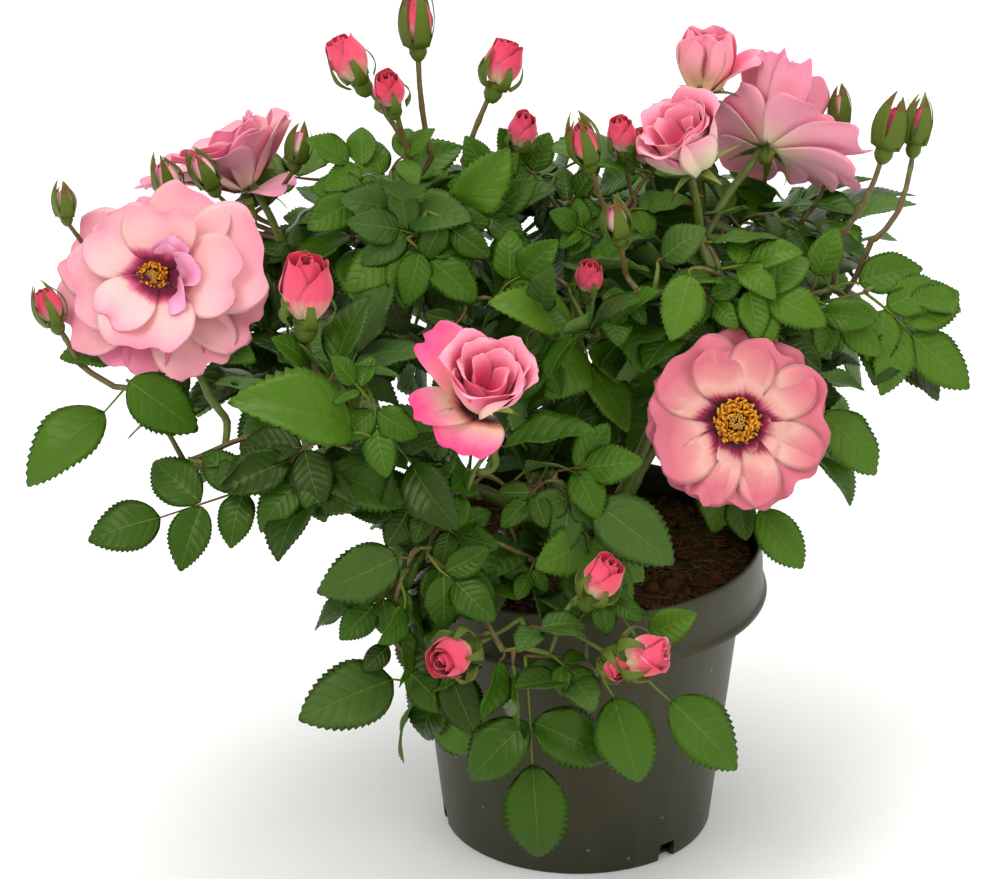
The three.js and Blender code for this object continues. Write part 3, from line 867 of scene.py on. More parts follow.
def springFrom(foot):
    away = np.linalg.norm((woodPoints - foot) * [1.0, 1.0, 0.7], axis=1)
    uphill = np.maximum(woodPoints[:, 2] - foot[2] + 2, 0)
    return woodPoints[np.argmin(away + 4 * uphill)]


boughNames = sorted(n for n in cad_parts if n.startswith(("stem", "bough")))
for bough in boughNames:
    heap = Heap()
    line, radii = limbLine(bough, 8)
    radii = np.maximum(radii, np.median(radii) * 0.9)
    if bough == "bough_front_low":    # hangs down from the front cane
        line, radii = line[::-1], radii[::-1]
    if bough == "bough_left_outer":    # ends among its leaf stalks
        line, radii = line[:-2], radii[:-2]
    ahead = line[-1] + (line[-1] - line[-2]) * 1.2
    spring = springFrom(line[0])
    if np.linalg.norm(spring - line[0]) > 6:
        line = np.concatenate([[spring, (spring + line[0]) / 2 - np.array([0, 0, 2])], line])
        radii = np.concatenate([[radii[0] * 1.1, radii[0] * 1.05], radii])
    addStem(heap, np.concatenate([line, [ahead]]), np.append(radii, radii[-1]), 0, stemRng)
    makePiece("bark_" + bough, heap, stemMaterials, [bough])
woodPoints = np.concatenate([woodPoints] + [limbLine(node, 30)[0] for node in boughNames])
makePiece("twigs", twigHeap, stemMaterials)
print("stems made")

# Petals: soft rose petals with a velvet nap, thin enough to let a little light through.
# They give a matt bloom, pink at the edge, cream below and a maroon eye at the base.
petalLook = {"roughness": 0.55, "sheen": 0.25, "through": 0.12, "streaks": 26.0, "blotches": 3.2}


def petalMaterial(name, stops, streak=0.045):
    material, tree, shader = newMaterial(name, {
        "Roughness": petalLook["roughness"],
        "IOR": 1.42,
        "Specular IOR Level": 0.3,
        "Sheen Weight": petalLook["sheen"],
        "Sheen Roughness": 0.4,
        "Subsurface Weight": petalLook["through"],
        "Subsurface Scale": 1.5 * mm,
    })
    uv = addNode(tree, "ShaderNodeUVMap", {"uv_map": "surfaceUv"})
    stretched = addNode(tree, "ShaderNodeMapping", {"Scale": (petalLook["streaks"], 2.2, 1.0)},
                        {"Vector": uv.outputs["UV"]})
    streaks = addNode(tree, "ShaderNodeTexNoise", {"Scale": 1.0, "Detail": 3.0},
                      {"Vector": stretched.outputs[0]})
    split = addNode(tree, "ShaderNodeSeparateXYZ", None, {"Vector": uv.outputs["UV"]})
    shift = addNode(tree, "ShaderNodeMath", {"operation": "MULTIPLY_ADD", 1: streak * 2},
                    {0: streaks.outputs["Fac"], 2: split.outputs["Y"]})
    blotch = addNode(tree, "ShaderNodeTexNoise", {"Scale": petalLook["blotches"], "Detail": 1.5},
                     {"Vector": uv.outputs["UV"]})
    drift = addNode(tree, "ShaderNodeMath", {"operation": "MULTIPLY_ADD", 1: 0.22},
                    {0: blotch.outputs["Fac"], 2: shift.outputs[0]})
    along = addNode(tree, "ShaderNodeMath", {"operation": "SUBTRACT", 1: streak + 0.11},
                    {0: drift.outputs[0]})
    ramp = addNode(tree, "ShaderNodeValToRGB", {"stops": stops}, {"Fac": along.outputs[0]})
    tree.links.new(ramp.outputs["Color"], shader.inputs["Base Color"])
    bump = addNode(tree, "ShaderNodeBump", {"Strength": 0.3, "Distance": 0.35 * mm},
                   {"Height": streaks.outputs["Fac"]})
    tree.links.new(bump.outputs["Normal"], shader.inputs["Normal"])
    return material


petalTints = {
    "paleFace": [(0.0, "#3d0614"), (0.2, "#6a0c32"), (0.29, "#b83f68"), (0.38, "#ecb0ab"), (0.56, "#edb3b0"),
                 (0.8, "#e9a2aa"), (1.0, "#e2879b")],
    "paleBack": [(0.0, "#e6d3ac"), (0.18, "#eebfae"), (0.42, "#f0a2b2"), (1.0, "#ee94b0")],
    "roseFace": [(0.0, "#2c040c"), (0.2, "#420618"), (0.27, "#8e1440"), (0.34, "#d4948a"), (0.43, "#d9a296"),
                 (0.56, "#d28384"), (0.78, "#c86573"), (1.0, "#cc6d7e")],
    # a darker rose copy of the petal face: painted shade for petals that lie in shadow
    "shadedRoseFace": [(0.0, "#a83459"), (0.4, "#d65f82"), (1.0, "#e58aa4")],
    "hotFace": [(0.0, "#3d0814"), (0.16, "#551019"), (0.26, "#c46a66"), (0.38, "#eac3a8"), (0.58, "#f09cae"),
                (0.8, "#f0608f"), (1.0, "#ee3c7a")],
    "hotBack": [(0.0, "#e8d8ac"), (0.32, "#ecb6a4"), (0.66, "#ee7f9a"), (1.0, "#ee5a8a")],
    "heartFace": [(0.0, "#d63a5c"), (0.45, "#e75f82"), (0.75, "#f07f9b"), (1.0, "#f49dae")],
    "lilacFace": [(0.0, "#b8476f"), (0.35, "#e58aa8"), (1.0, "#e9a2c4")],
    "coralFace": [(0.0, "#ead2a4"), (0.35, "#df767e"), (0.6, "#d43f5a"), (1.0, "#d02f4d")],
    "coralBack": [(0.0, "#e6d8a8"), (0.28, "#e8a48e"), (0.55, "#de546a"), (1.0, "#d83e5a")],
    "ivoryBack": [(0.0, "#dfdda6"), (0.38, "#edd6b2"), (0.7, "#efb0b0"), (1.0, "#ee84a2")],
    "peachBack": [(0.0, "#d6c088"), (0.25, "#e0a884"), (0.5, "#ee9a9c"), (1.0, "#f286a0")],
}
petalSlots = {name: i for i, name in enumerate(petalTints)}
petalMaterials = [petalMaterial("velvetPetal_" + name, stops, 0.15 if name.startswith("coral") else 0.045)
                  for name, stops in petalTints.items()]
petalTiles = (4, 3)
petalGrid = {"columns": 17, "rows": 19, "thickness": 0.3}


# topology of one petal: a front and a back that share their rim
def petalTopology():
    wide, high = petalGrid["columns"], petalGrid["rows"]
    front = np.arange(wide * high).reshape(high, wide)
    back = front.copy()
    back[1:-1, 1:-1] = wide * high + np.arange((wide - 2) * (high - 2)).reshape(high - 2, wide - 2)
    faces = []
    for layer, ids in ((0, front), (1, back)):
        a, b = ids[:-1, :-1].ravel(), ids[:-1, 1:].ravel()
        c, d = ids[1:, 1:].ravel(), ids[1:, :-1].ravel()
        made = np.concatenate([np.stack([a, b, c], 1), np.stack([a, c, d], 1)])
        faces.append(made if layer == 0 else made[:, ::-1])
    kinds = np.repeat([0, 1], len(faces[0]))
    return np.concatenate(faces), kinds


petalFaces, petalKinds = petalTopology()
petalU = np.tile(np.linspace(-1, 1, petalGrid["columns"]), petalGrid["rows"])
petalS = np.repeat(np.sin(np.linspace(0, 1, petalGrid["rows"]) * math.pi / 2), petalGrid["columns"])


# One petal in the bloom's axes, z the way the bloom faces. It starts start[0] out and start[1] up,
# leaves at angle rise and ends at angle spread (degrees above the flat), and is cupped across.
def addPetal(heap, centre, axes, turn, form, faceSlot, backSlot, rng):
    length, width = form["length"], form["width"]
    steps = np.linspace(0, 1, 60)
    ease = steps * steps * (3 - 2 * steps)
    heading = np.radians(form["rise"] + (form["spread"] - form["rise"]) * ease)
    rollFrom = form.get("rollFrom", 0.78)
    roll = (np.clip(steps - rollFrom, 0, 1) / (1 - rollFrom)) ** 1.6
    heading = heading - np.radians(form.get("roll", 25)) * roll
    out = form["start"][0] + np.concatenate([[0], np.cumsum(np.cos(heading[1:]))]) * length / 59
    up = form["start"][1] + np.concatenate([[0], np.cumsum(np.sin(heading[1:]))]) * length / 59
    neck, shoulder = form.get("neck", 0.24), form.get("shoulder", 0.64)
    low = neck + (1 - neck) * np.sin(np.clip(petalS / shoulder, 0, 1) * math.pi / 2) ** 1.15
    high = np.sqrt(np.clip(1 - (np.clip(petalS - shoulder, 0, 1) / (1 - shoulder)) ** 2.5, 0, 1))
    share = np.where(petalS < shoulder, low, np.maximum(high, 0.12))
    across = petalU * share
    x = across * width / 2
    lobes = rng.uniform(3, 5.5)
    phase = rng.uniform(0, 6.28)
    edge = 1 - form.get("notch", 0.07) * np.exp(-(across / 0.34) ** 2)
    edge = edge - 0.03 * (1 + np.sin(across * lobes * 2 + phase))
    s = petalS * (1 + (edge - 1) * petalS ** 3)
    r, z, h = np.interp(s, steps, out), np.interp(s, steps, up), np.interp(s, steps, heading)
    if "wrap" in form:  # bud petals lie round the axis
        curve = np.maximum(r * form["wrap"], 1.2)
    else:
        curve = np.full_like(r, form.get("cup", 45.0))
    ruffle = form.get("ruffle", 1.6)
    lift = ruffle * petalS ** 3 * np.sin(across * lobes + phase)
    lift = lift + ruffle * 0.5 * petalS ** 2 * np.sin(across * 9 + phase * 2) * np.abs(across)
    pleat = form.get("pleat", 0.8)
    lift = lift + pleat * petalS * np.cos(across * form.get("folds", 5.0) + phase)
    flat = curve * np.sin(x / curve)
    rise = curve * (1 - np.cos(x / curve)) + lift
    over = form.get("over", 2.5) * across * petalS  # one edge over the next petal, one edge under
    radial = r - np.sin(h) * (rise + over)
    height = z + np.cos(h) * (rise + over)
    bend = turn + form.get("lean", 0.0) * petalS
    cosine, sine = np.cos(bend), np.sin(bend)
    local = np.stack([radial * cosine - flat * sine, radial * sine + flat * cosine, height], 1)
    inward = np.stack([-np.sin(h) * cosine, -np.sin(h) * sine, np.cos(h)], 1)
    inner = np.zeros((petalGrid["rows"], petalGrid["columns"]), bool)
    inner[1:-1, 1:-1] = True
    inner = inner.ravel()
    back = local[inner] - inward[inner] * petalGrid["thickness"]
    points = np.concatenate([local, back])
    uv = np.stack([(petalU + 1) / 2, petalS], 1)
    heap.add(centre + points @ axes, petalFaces[:, ::-1], np.where(petalKinds == 0, faceSlot, backSlot),
             np.concatenate([uv, uv[inner]]))


# axes of a bloom or bud whose z runs the way it faces, turned about it by spin
def bloomAxes(faces, spin=0.0):
    z = unit(faces)
    x = unit(np.cross([0.0, 1.0, 0.0], z)) if abs(z[1]) < 0.95 else np.array([1.0, 0.0, 0.0])
    x = unit(x - np.dot(x, z) * z)
    y = np.cross(z, x)
    c, s = math.cos(spin), math.sin(spin)
    return np.stack([x * c + y * s, y * c - x * s, z])


# Stamens: golden anthers on fine red filaments round a tuft of styles.
# Dry powdery pollen gives a matt golden ring.
stamenLook = {"pollen": "#a8620c", "pollenLight": "#d2922a", "filament": "#8a3318", "style": "#b98a44"}
stamenMaterials = [
    plantMaterial("pollenDark", stamenLook["pollen"], 0.75, False),
    plantMaterial("pollenLight", stamenLook["pollenLight"], 0.75, False),
    plantMaterial("filament", stamenLook["filament"], 0.5, False),
    plantMaterial("style", stamenLook["style"], 0.6, False),
]
stamenHeap = Heap()


def addStamens(centre, axes, count, radius, height, rng):
    for k in range(count):
        share = math.sqrt((k + 0.5) / count)
        turn = k * goldenTurn
        reach = radius * (0.42 + 0.58 * share) * rng.uniform(0.84, 1.12)
        rise = height * (1.15 - 0.5 * share) * rng.uniform(0.85, 1.15)
        ray = np.array([math.cos(turn), math.sin(turn), 0])
        foot = ray * radius * 0.28
        head = ray * reach + np.array([0, 0, rise])
        mid = ray * reach * 0.75 + np.array([0, 0, rise * 0.45])
        path = centre + smoothPath([foot, mid, head], 4) @ axes
        addTube(stamenHeap, path, [0.28, 0.24, 0.2, 0.18], 4, 2)
        lean = unit(ray * rng.uniform(-0.6, 0.8) + np.array([0, 0, 1]) * rng.uniform(-0.2, 0.7)
                    + np.cross(ray, [0, 0, 1]) * rng.uniform(-1, 1))
        anther = centre + (head + np.outer([-1.3, -0.6, 0.6, 1.3], lean)) @ axes
        addTube(stamenHeap, anther, np.array([0.3, 0.72, 0.62, 0.25]) * rng.uniform(0.75, 1.15), 6, k % 2)
    styles = 34
    for k in range(styles):
        turn = k * goldenTurn
        reach = radius * 0.36 * math.sqrt((k + 0.5) / styles)
        ray = np.array([math.cos(turn), math.sin(turn), 0])
        path = centre + (ray * reach + np.outer([0, 0.6, 1.0], [0, 0, height * 0.75]) + ray * 0.4) @ axes
        addTube(stamenHeap, path, [0.35, 0.4, 0.75], 5, 3 if k % 3 else 1)


# Calyx: five sepals with drawn-out tips on a round green hip.
# Waxy young skin gives a soft green satin, reddish at the tips.
calyxLook = {"sepal": "#4e5f1c", "sepalTip": "#5e4422", "hip": "#4a5c1c", "inside": "#7f8c48"}
calyxMaterials = [
    plantMaterial("sepalGreen", calyxLook["sepal"], 0.5, False),
    plantMaterial("sepalTip", calyxLook["sepalTip"], 0.5, False),
    plantMaterial("hipGreen", calyxLook["hip"], 0.42, False),
    plantMaterial("sepalInside", calyxLook["inside"], 0.6, False),
]
calyxHeap = Heap()


# five sepals: opening 0 hugs the bud, 1 lies flat, over 1 hangs back along the stalk
def addCalyx(centre, axes, radius, length, opening, rng, cover=0.0, hugs=0.0):
    rows, columns = 9, 5
    for k in range(5):
        turn = k * 2 * math.pi / 5 + rng.uniform(-0.15, 0.15)
        reach = length * rng.uniform(0.85, 1.12)
        s = np.repeat(np.linspace(0, 1, rows), columns)
        u = np.tile(np.linspace(-1, 1, columns), rows)
        steps = np.linspace(0, 1, 30)
        start = math.radians(max(-25, 78 - 90 * opening))
        end = math.radians(88 - 150 * opening * rng.uniform(0.75, 1.2))
        heading = start + (end - start) * steps ** 1.4
        out = radius * 0.62 + np.concatenate([[0], np.cumsum(np.cos(heading[1:]))]) * reach / 29
        up = np.concatenate([[0], np.cumsum(np.sin(heading[1:]))]) * reach / 29
        if hugs:  # the sepals follow the bud and only their tips stand off it
            out = hugs * np.sin(math.pi * (0.2 + 0.76 * steps)) ** 0.8
            out = out + opening * reach * np.clip(steps - 0.45, 0, 1) ** 1.5 * rng.uniform(0.7, 1.6)
            up = reach * steps * (1 - 0.3 * opening * steps) - 1.0
        r = np.interp(s, steps, out)
        z = np.interp(s, steps, up)
        half = (0.46 + 0.42 * cover) * radius * (1 - s) ** (1.35 - 0.4 * cover) * (0.8 + 0.8 * s) + 0.3
        x = u * half
        local = np.stack([r * math.cos(turn) - x * math.sin(turn), r * math.sin(turn) + x * math.cos(turn),
                          z + 0.15 * np.abs(x)], 1)
        thick = np.stack([np.full(len(s), -0.35 * math.cos(turn)), np.full(len(s), -0.35 * math.sin(turn)),
                          np.full(len(s), 0.2)], 1)
        ids = np.arange(rows * columns).reshape(rows, columns)
        a, b, c, d = ids[:-1, :-1].ravel(), ids[:-1, 1:].ravel(), ids[1:, 1:].ravel(), ids[1:, :-1].ravel()
        outer = np.concatenate([np.stack([a, b, c], 1), np.stack([a, c, d], 1)])
        edge = np.concatenate([ids[0, :], ids[1:, -1], ids[-1, -2::-1], ids[-2:0:-1, 0]])
        n = rows * columns
        after = np.roll(edge, -1)
        rim = np.concatenate([np.stack([edge, edge + n, after + n], 1),
                              np.stack([edge, after + n, after], 1)])
        tipFace = s[outer[:, 0]] > 0.72
        faces = np.concatenate([outer, outer[:, ::-1] + n, rim])
        kinds = np.concatenate([np.where(tipFace, 1, 0), np.full(len(outer), 3), np.zeros(len(rim), int)])
        calyxHeap.add(centre + np.concatenate([local, local + thick]) @ axes, faces, kinds)
    places = np.array([-1.5, -1.25, -0.8, -0.3, 0.1, 0.4]) * radius * 0.75
    wide = np.array([0.3, 0.5, 0.68, 0.66, 0.74, 0.5]) * radius * 0.9
    addTube(calyxHeap, centre + np.outer(places, [0, 0, 1]) @ axes, wide, 14, 2)


# Open blooms. A petal is: turn (0 right, 90 up as the bloom is looked at), length, width, angles
# above the flat where it starts and where it ends, how far up it starts, look of its face. Flat and
# curl shape the petals, wild ruffles them, spin turns the bloom and hip sets its calyx.
bloomPlans = {
    "bloom_left": {
        "at": (0, 6, -4), "seed": 201, "stamens": (80, 8.0, 8), "eye": (-3, 0), "flat": 1.2, "curl": 0.75,
        # the low petals at 238 and 268 take the darker rose face as painted shade
        "petals": [
            (198, 53, 44, 2, -4, -2.0, "paleFace"), (238, 50, 42, 0, -12, -2.6, "shadedRoseFace"),
            (268, 48, 40, 0, -14, -3.2, "shadedRoseFace"), (150, 51, 46, 8, 6, -1.0, "paleFace"),
            (112, 41, 40, 14, 12, -0.4, "paleFace"), (56, 50, 42, 10, 6, 0.0, "paleFace"),
            (6, 57, 56, 9, 3, 0.8, "paleFace"), (294, 55, 42, 0, -8, -1.6, "paleFace"),
            (326, 55, 42, 3, -6, -1.0, "paleFace"), (188, 46, 46, 20, 6, 3.0, "paleFace"),
            (258, 42, 48, 24, 4, 5.6, "paleFace"), (132, 40, 40, 34, 14, 3.6, "paleFace"),
            (76, 37, 36, 44, 26, 4.4, "paleFace"), (346, 46, 42, 24, 12, 4.0, "paleFace"),
            (222, 36, 30, 28, 14, 7.0, "paleFace"),
        ],
        "over": 1.2,
        "petaloids": [
            (42, 22, 19, 100), (2, 24, 21, 78), (326, 24, 17, 62), (20, 17, 15, 108), (350, 19, 15, 56),
            (66, 19, 15, 84),
        ],
    },
    "bloom_back_left": {
        "at": (4, 0, -15), "seed": 211, "stamens": (40, 7, 7), "eye": (0, 0),
        "petals": [
            (176, 56, 42, 30, 10, 0.0, "shadedRoseFace"), (212, 54, 42, 38, 14, 0.5, "shadedRoseFace"),
            (250, 48, 42, 48, 24, 0.8, "shadedRoseFace"), (290, 42, 42, 56, 42, 0.6, "shadedRoseFace"),
            (330, 42, 40, 58, 46, 0.2, "shadedRoseFace"), (10, 46, 40, 52, 38, 0.0, "paleFace"),
            (50, 46, 38, 46, 32, 0.0, "paleFace"), (95, 46, 40, 42, 26, 0.2, "paleFace"),
            (138, 52, 42, 34, 14, 0.2, "paleFace"), (338, 26, 26, 6, -22, -1.0, "paleBack"),
            (196, 42, 34, 52, 28, 3.0, "shadedRoseFace"), (232, 38, 32, 60, 40, 3.0, "shadedRoseFace"),
            (300, 38, 30, 72, 62, 3.0, "shadedRoseFace"), (350, 40, 30, 74, 66, 3.0, "shadedRoseFace"),
            (60, 36, 28, 66, 56, 3.0, "paleFace"),
        ],
    },
    "bloom_front_right": {
        "at": (0, 8, 0), "seed": 221, "stamens": (190, 10.8, 6), "eye": (0, 0),
        "pleat": 1.8, "folds": 7.0, "flat": 1.7, "curl": 0.35, "wild": 1.4,
        "petals": [
            (168, 45, 40, 2, -6, -1.0, "roseFace"), (75, 46, 46, 2, -4, -1.2, "roseFace"),
            (212, 45, 42, 2, -6, -1.2, "roseFace"), (38, 45, 44, 4, 0, -0.8, "roseFace"),
            (328, 44, 44, 2, -6, -1.0, "roseFace"), (285, 44, 44, 2, -8, -1.2, "roseFace"),
            (8, 46, 50, 10, 5, 0.6, "roseFace"), (54, 44, 46, 14, 9, 0.8, "roseFace"),
            (96, 40, 40, 16, 10, 0.8, "roseFace"), (134, 45, 44, 12, 7, 0.8, "roseFace"),
            (196, 45, 50, 10, 4, 1.0, "roseFace"), (241, 44, 32, 10, 3, 1.4, "roseFace"),
            (270, 45, 46, 9, 1, 1.0, "roseFace"), (318, 46, 46, 9, 2, 0.8, "roseFace"),
        ],
        "over": 1.6,
    },
    "bloom_right": {
        "at": (-8, -4, -9), "spin": 126, "seed": 231, "stamens": (40, 7, 7), "eye": (0, 0),
        "petals": [
            (182, 55, 34, 22, 8, 0.0, "paleFace"), (150, 42, 44, 30, 16, 0.4, "paleFace"),
            (118, 55, 20, 44, 36, 0.4, "paleFace"), (97, 56, 19, 46, 40, 0.6, "paleFace"),
            (76, 52, 30, 50, 44, 0.8, "shadedRoseFace"), (44, 36, 38, 36, 26, 0.4, "paleFace"),
            (2, 36, 40, 20, 2, 0.0, "shadedRoseFace"), (326, 40, 34, 8, -10, -0.6, "shadedRoseFace"),
            (282, 32, 30, 14, -4, -0.4, "shadedRoseFace"), (246, 42, 36, 12, -2, -0.2, "shadedRoseFace"),
            (212, 50, 38, 12, -4, -0.4, "shadedRoseFace"), (132, 44, 30, 62, 60, 3.0, "paleFace"),
            (86, 46, 26, 66, 62, 3.0, "shadedRoseFace"), (196, 40, 34, 40, 26, 3.0, "paleFace"),
            (230, 34, 30, 52, 40, 3.0, "shadedRoseFace"),
        ],
        "wild": 1.5, "hip": -0.5,
    },
}


def buildBloom(name, plan):
    rng = np.random.default_rng(plan["seed"])
    axes = bloomAxes(bloomAims[name], math.radians(plan.get("spin", 0)))
    centre = middleOf(name) + np.array(plan["at"]) - axes[2] * 4
    heap = Heap()
    for turn, length, width, rise, spread, startUp, face in plan["petals"]:
        form = {
            "length": length * rng.uniform(0.97, 1.03), "width": width * 1.08, "rise": rise,
            "spread": spread + rng.uniform(-4, 4), "start": (2.2, startUp),
            "cup": rng.uniform(38, 70) * plan.get("flat", 1),
            "roll": rng.uniform(10, 38) * plan.get("curl", 1), "over": plan.get("over", 2.2),
            "pleat": plan.get("pleat", 0.9), "folds": plan.get("folds", 4.5),
            "lean": rng.uniform(-0.06, 0.06) * plan.get("wild", 1), "ruffle": 1.6 * plan.get("wild", 1),
        }
        addPetal(heap, centre, axes, math.radians(turn), form, petalSlots[face], petalSlots["paleBack"], rng)
    for turn, length, width, spread in plan.get("petaloids", []):  # small petals among the stamens
        form = {
            "length": length, "width": width, "rise": 44, "spread": spread, "start": (8, 4), "cup": 9,
            "notch": -0.1, "roll": 80, "rollFrom": 0.5, "over": 6.0, "pleat": 0.9, "ruffle": 0.8,
            "lean": rng.uniform(-0.6, 0.6),
        }
        look = petalSlots["lilacFace"]
        addPetal(heap, centre, axes, math.radians(turn), form, look, look, rng)
    count, radius, height = plan["stamens"]
    eye = np.array([plan["eye"][0], plan["eye"][1], 1.5])
    addStamens(centre + eye @ axes, axes, count, radius, height, rng)
    addCalyx(centre + axes[2] * plan.get("hip", -3.0), axes, 6.5, 20, 1.05, rng)
    return makePiece(name.replace("bloom", "petals"), heap, petalMaterials, [name], petalTiles)


for bloomName, plan in bloomPlans.items():
    buildBloom(bloomName, plan)

# Blooms half open: a turned heart of wrapped petals inside a few guard petals
heartPlans = {
    "bloom_centre": {
        "at": (8, 4, -10), "seed": 241, "radius": 20, "height": 33, "turns": 10,
        "heart": "heartFace", "back": "hotBack", "guards": [
            (156, 47, 40, 48, 32, "hotFace", "hotBack"), (206, 37, 28, 24, 4, "hotFace", "hotBack"),
            (254, 31, 38, 20, -14, "hotFace", "hotBack"), (330, 38, 40, 62, 74, "heartFace", "ivoryBack"),
        ],
    },
    "bloom_top_right": {
        "at": (1, 0, -17), "seed": 251, "radius": 11.5, "height": 34, "turns": 6, "closed": 16,
        "heart": "heartFace", "back": "peachBack", "guards": [
            (200, 36, 38, 72, 96, "heartFace", "peachBack"), (275, 35, 40, 70, 98, "heartFace", "peachBack"),
            (352, 35, 24, 46, 34, "heartFace", "peachBack"), (90, 36, 36, 74, 96, "heartFace", "peachBack"),
        ],
    },
    "bloom_upper": {
        "at": (10, 3, -18), "seed": 261, "radius": 18, "height": 35, "turns": 9,
        "heart": "heartFace", "back": "ivoryBack", "guards": [
            (330, 40, 44, 58, 84, "heartFace", "ivoryBack"), (260, 36, 42, 50, 80, "heartFace", "ivoryBack"),
            (40, 38, 40, 60, 88, "heartFace", "ivoryBack"), (200, 36, 36, 50, 72, "heartFace", "hotBack"),
        ],
    },
}


def buildHeartBloom(name, plan):
    rng = np.random.default_rng(plan["seed"])
    axes = bloomAxes(bloomAims[name])
    centre = middleOf(name) + np.array(plan["at"])
    heap = Heap()
    face, back = petalSlots[plan["heart"]], petalSlots[plan["back"]]
    radius, height = plan["radius"], plan["height"]
    for k in range(plan["turns"]):
        share = (k + 0.5) / plan["turns"]
        reach = radius * (0.14 + 0.8 * share ** 0.85)
        form = {
            "length": height * (0.92 + 0.22 * share), "width": reach * 2.5 + 5, "start": (reach * 0.3, 0.0),
            "rise": 62 - 22 * share, "spread": 100 - 4 * share + plan.get("closed", 0), "wrap": 1.0,
            "roll": (40 + 62 * share) * (1 - plan.get("closed", 0) / 20), "rollFrom": 0.66, "ruffle": 0.7,
            "pleat": 0.5, "notch": -0.05, "neck": 0.55, "shoulder": 0.62, "over": 2.6,
        }
        addPetal(heap, centre, axes, k * goldenTurn, form, face, back, rng)
    for turn, length, width, rise, spread, face, back in plan["guards"]:
        form = {
            "length": length, "width": width, "start": (radius * 0.2, -1.0), "rise": rise, "spread": spread,
            "cup": radius * 1.5, "roll": 30, "ruffle": 1.4, "neck": 0.4, "over": 2.0, "notch": 0.04,
        }
        addPetal(heap, centre, axes, math.radians(turn), form, petalSlots[face], petalSlots[back], rng)
    addCalyx(centre - axes[2] * 1.0, axes, 6.5, 20, 0.8, rng)
    return makePiece(name.replace("bloom", "petals"), heap, petalMaterials, [name], petalTiles)


for bloomName, plan in heartPlans.items():
    buildHeartBloom(bloomName, plan)
print("blooms made")

# Buds: a pointed turned bud in its calyx, on a thin red-green stalk. "show" is how far it has
# opened, "sepals" their length as a share of the bud's, "opening" how far they stand off it.
budPlans = {
    "bud_top_left": {"face": "coralFace", "back": "coralBack", "opening": 0.5, "radius": 11, "show": 1.0},
    "bud_top_inner": {"face": "coralFace", "back": "coralFace", "opening": 0.35, "radius": 9.5, "show": 0.9},
    "bud_top_tall": {"face": "coralBack", "back": "coralBack", "opening": 0.12, "radius": 9, "show": 0.25},
    "bud_top_right": {"face": "coralFace", "back": "coralFace", "opening": 0.5, "radius": 11, "show": 1.0},
    "bud_middle_tall": {"face": "coralBack", "back": "coralBack", "opening": 0.1, "radius": 8.5,
                        "show": 0.3},
    "bud_middle_low": {"face": "paleBack", "back": "ivoryBack", "opening": 0.05, "radius": 8, "show": 0.15},
    "bud_far_right": {"face": "coralBack", "back": "coralBack", "opening": 0.12, "radius": 9, "show": 0.1},
    "bud_far_right_low": {"face": "coralBack", "back": "coralBack", "opening": 0.1, "radius": 7.5,
                          "show": 0.1},
    "bud_left_inner": {"face": "coralFace", "back": "coralBack", "opening": 0.3, "radius": 14, "show": 1.15,
                       "sepals": 0.62},
    "bud_far_left": {"face": "coralFace", "back": "coralFace", "opening": 0.15, "radius": 8.5, "show": 0.5},
    "bud_front_high": {"face": "coralFace", "back": "coralBack", "opening": 0.35, "radius": 11.5,
                       "show": 1.0, "sepals": 0.8, "stalk": 0},
    "bud_front_right": {"face": "heartFace", "back": "coralBack", "opening": 0.5, "radius": 14, "show": 1.1,
                        "sepals": 0.8, "stalk": 0},
}
budPetalCount = 7
budHeap = Heap()
budStalkHeap = Heap()


def addBud(centre, axes, radius, length, plan, rng):
    show = plan["show"]
    cover = max(0.0, 1 - show / 0.6)
    height = length * (0.66 + 0.16 * show)
    core = radius * (1 - 0.34 * cover)
    face, back = petalSlots[plan["face"]], petalSlots[plan["back"]]
    for k in range(budPetalCount):
        share = (k + 1) / budPetalCount
        form = {
            "length": height * (1.16 - 0.04 * share), "width": core * (1.5 + 1.5 * share),
            "start": (core * (0.06 + 0.26 * share), 0.5), "rise": 44 + 24 * (1 - share) ** 1.5,
            "spread": 126 - 11 * share * show - 12 * (1 - share) ** 2,
            "wrap": 1.0, "rollFrom": 0.8, "roll": 36 * show * share, "ruffle": 0.5, "pleat": 0.25,
            "notch": -0.12, "neck": 0.6, "shoulder": 0.5, "over": 1.6, "lean": 0.25,
        }
        addPetal(budHeap, centre, axes, k * goldenTurn, form, face, back, rng)
    sepalShare = plan.get("sepals", 1.05 if show < 0.6 else 0.78)
    addCalyx(centre, axes, radius * (0.72 + 0.2 * cover), length * sepalShare, plan["opening"], rng, cover,
             radius * (1.06 - 0.1 * cover))


for budName, plan in budPlans.items():
    rng = np.random.default_rng(len(budName) * 31 + int(plan["radius"] * 10))
    headFoot, tip, stalk = budHeads[budName]
    axis = unit(tip - headFoot)
    addBud(headFoot + axis * 1.5, bloomAxes(axis), plan["radius"], np.linalg.norm(tip - headFoot), plan, rng)
    spring = springFrom(stalk[0])
    sag = (spring + stalk[0]) / 2 - np.array([0, 0, 0.12]) * np.linalg.norm(spring - stalk[0])
    path = np.concatenate([[spring, sag], stalk])
    addStem(budStalkHeap, path, np.linspace(1.6, 1.3, len(path)), plan.get("stalk", 1), rng, False)

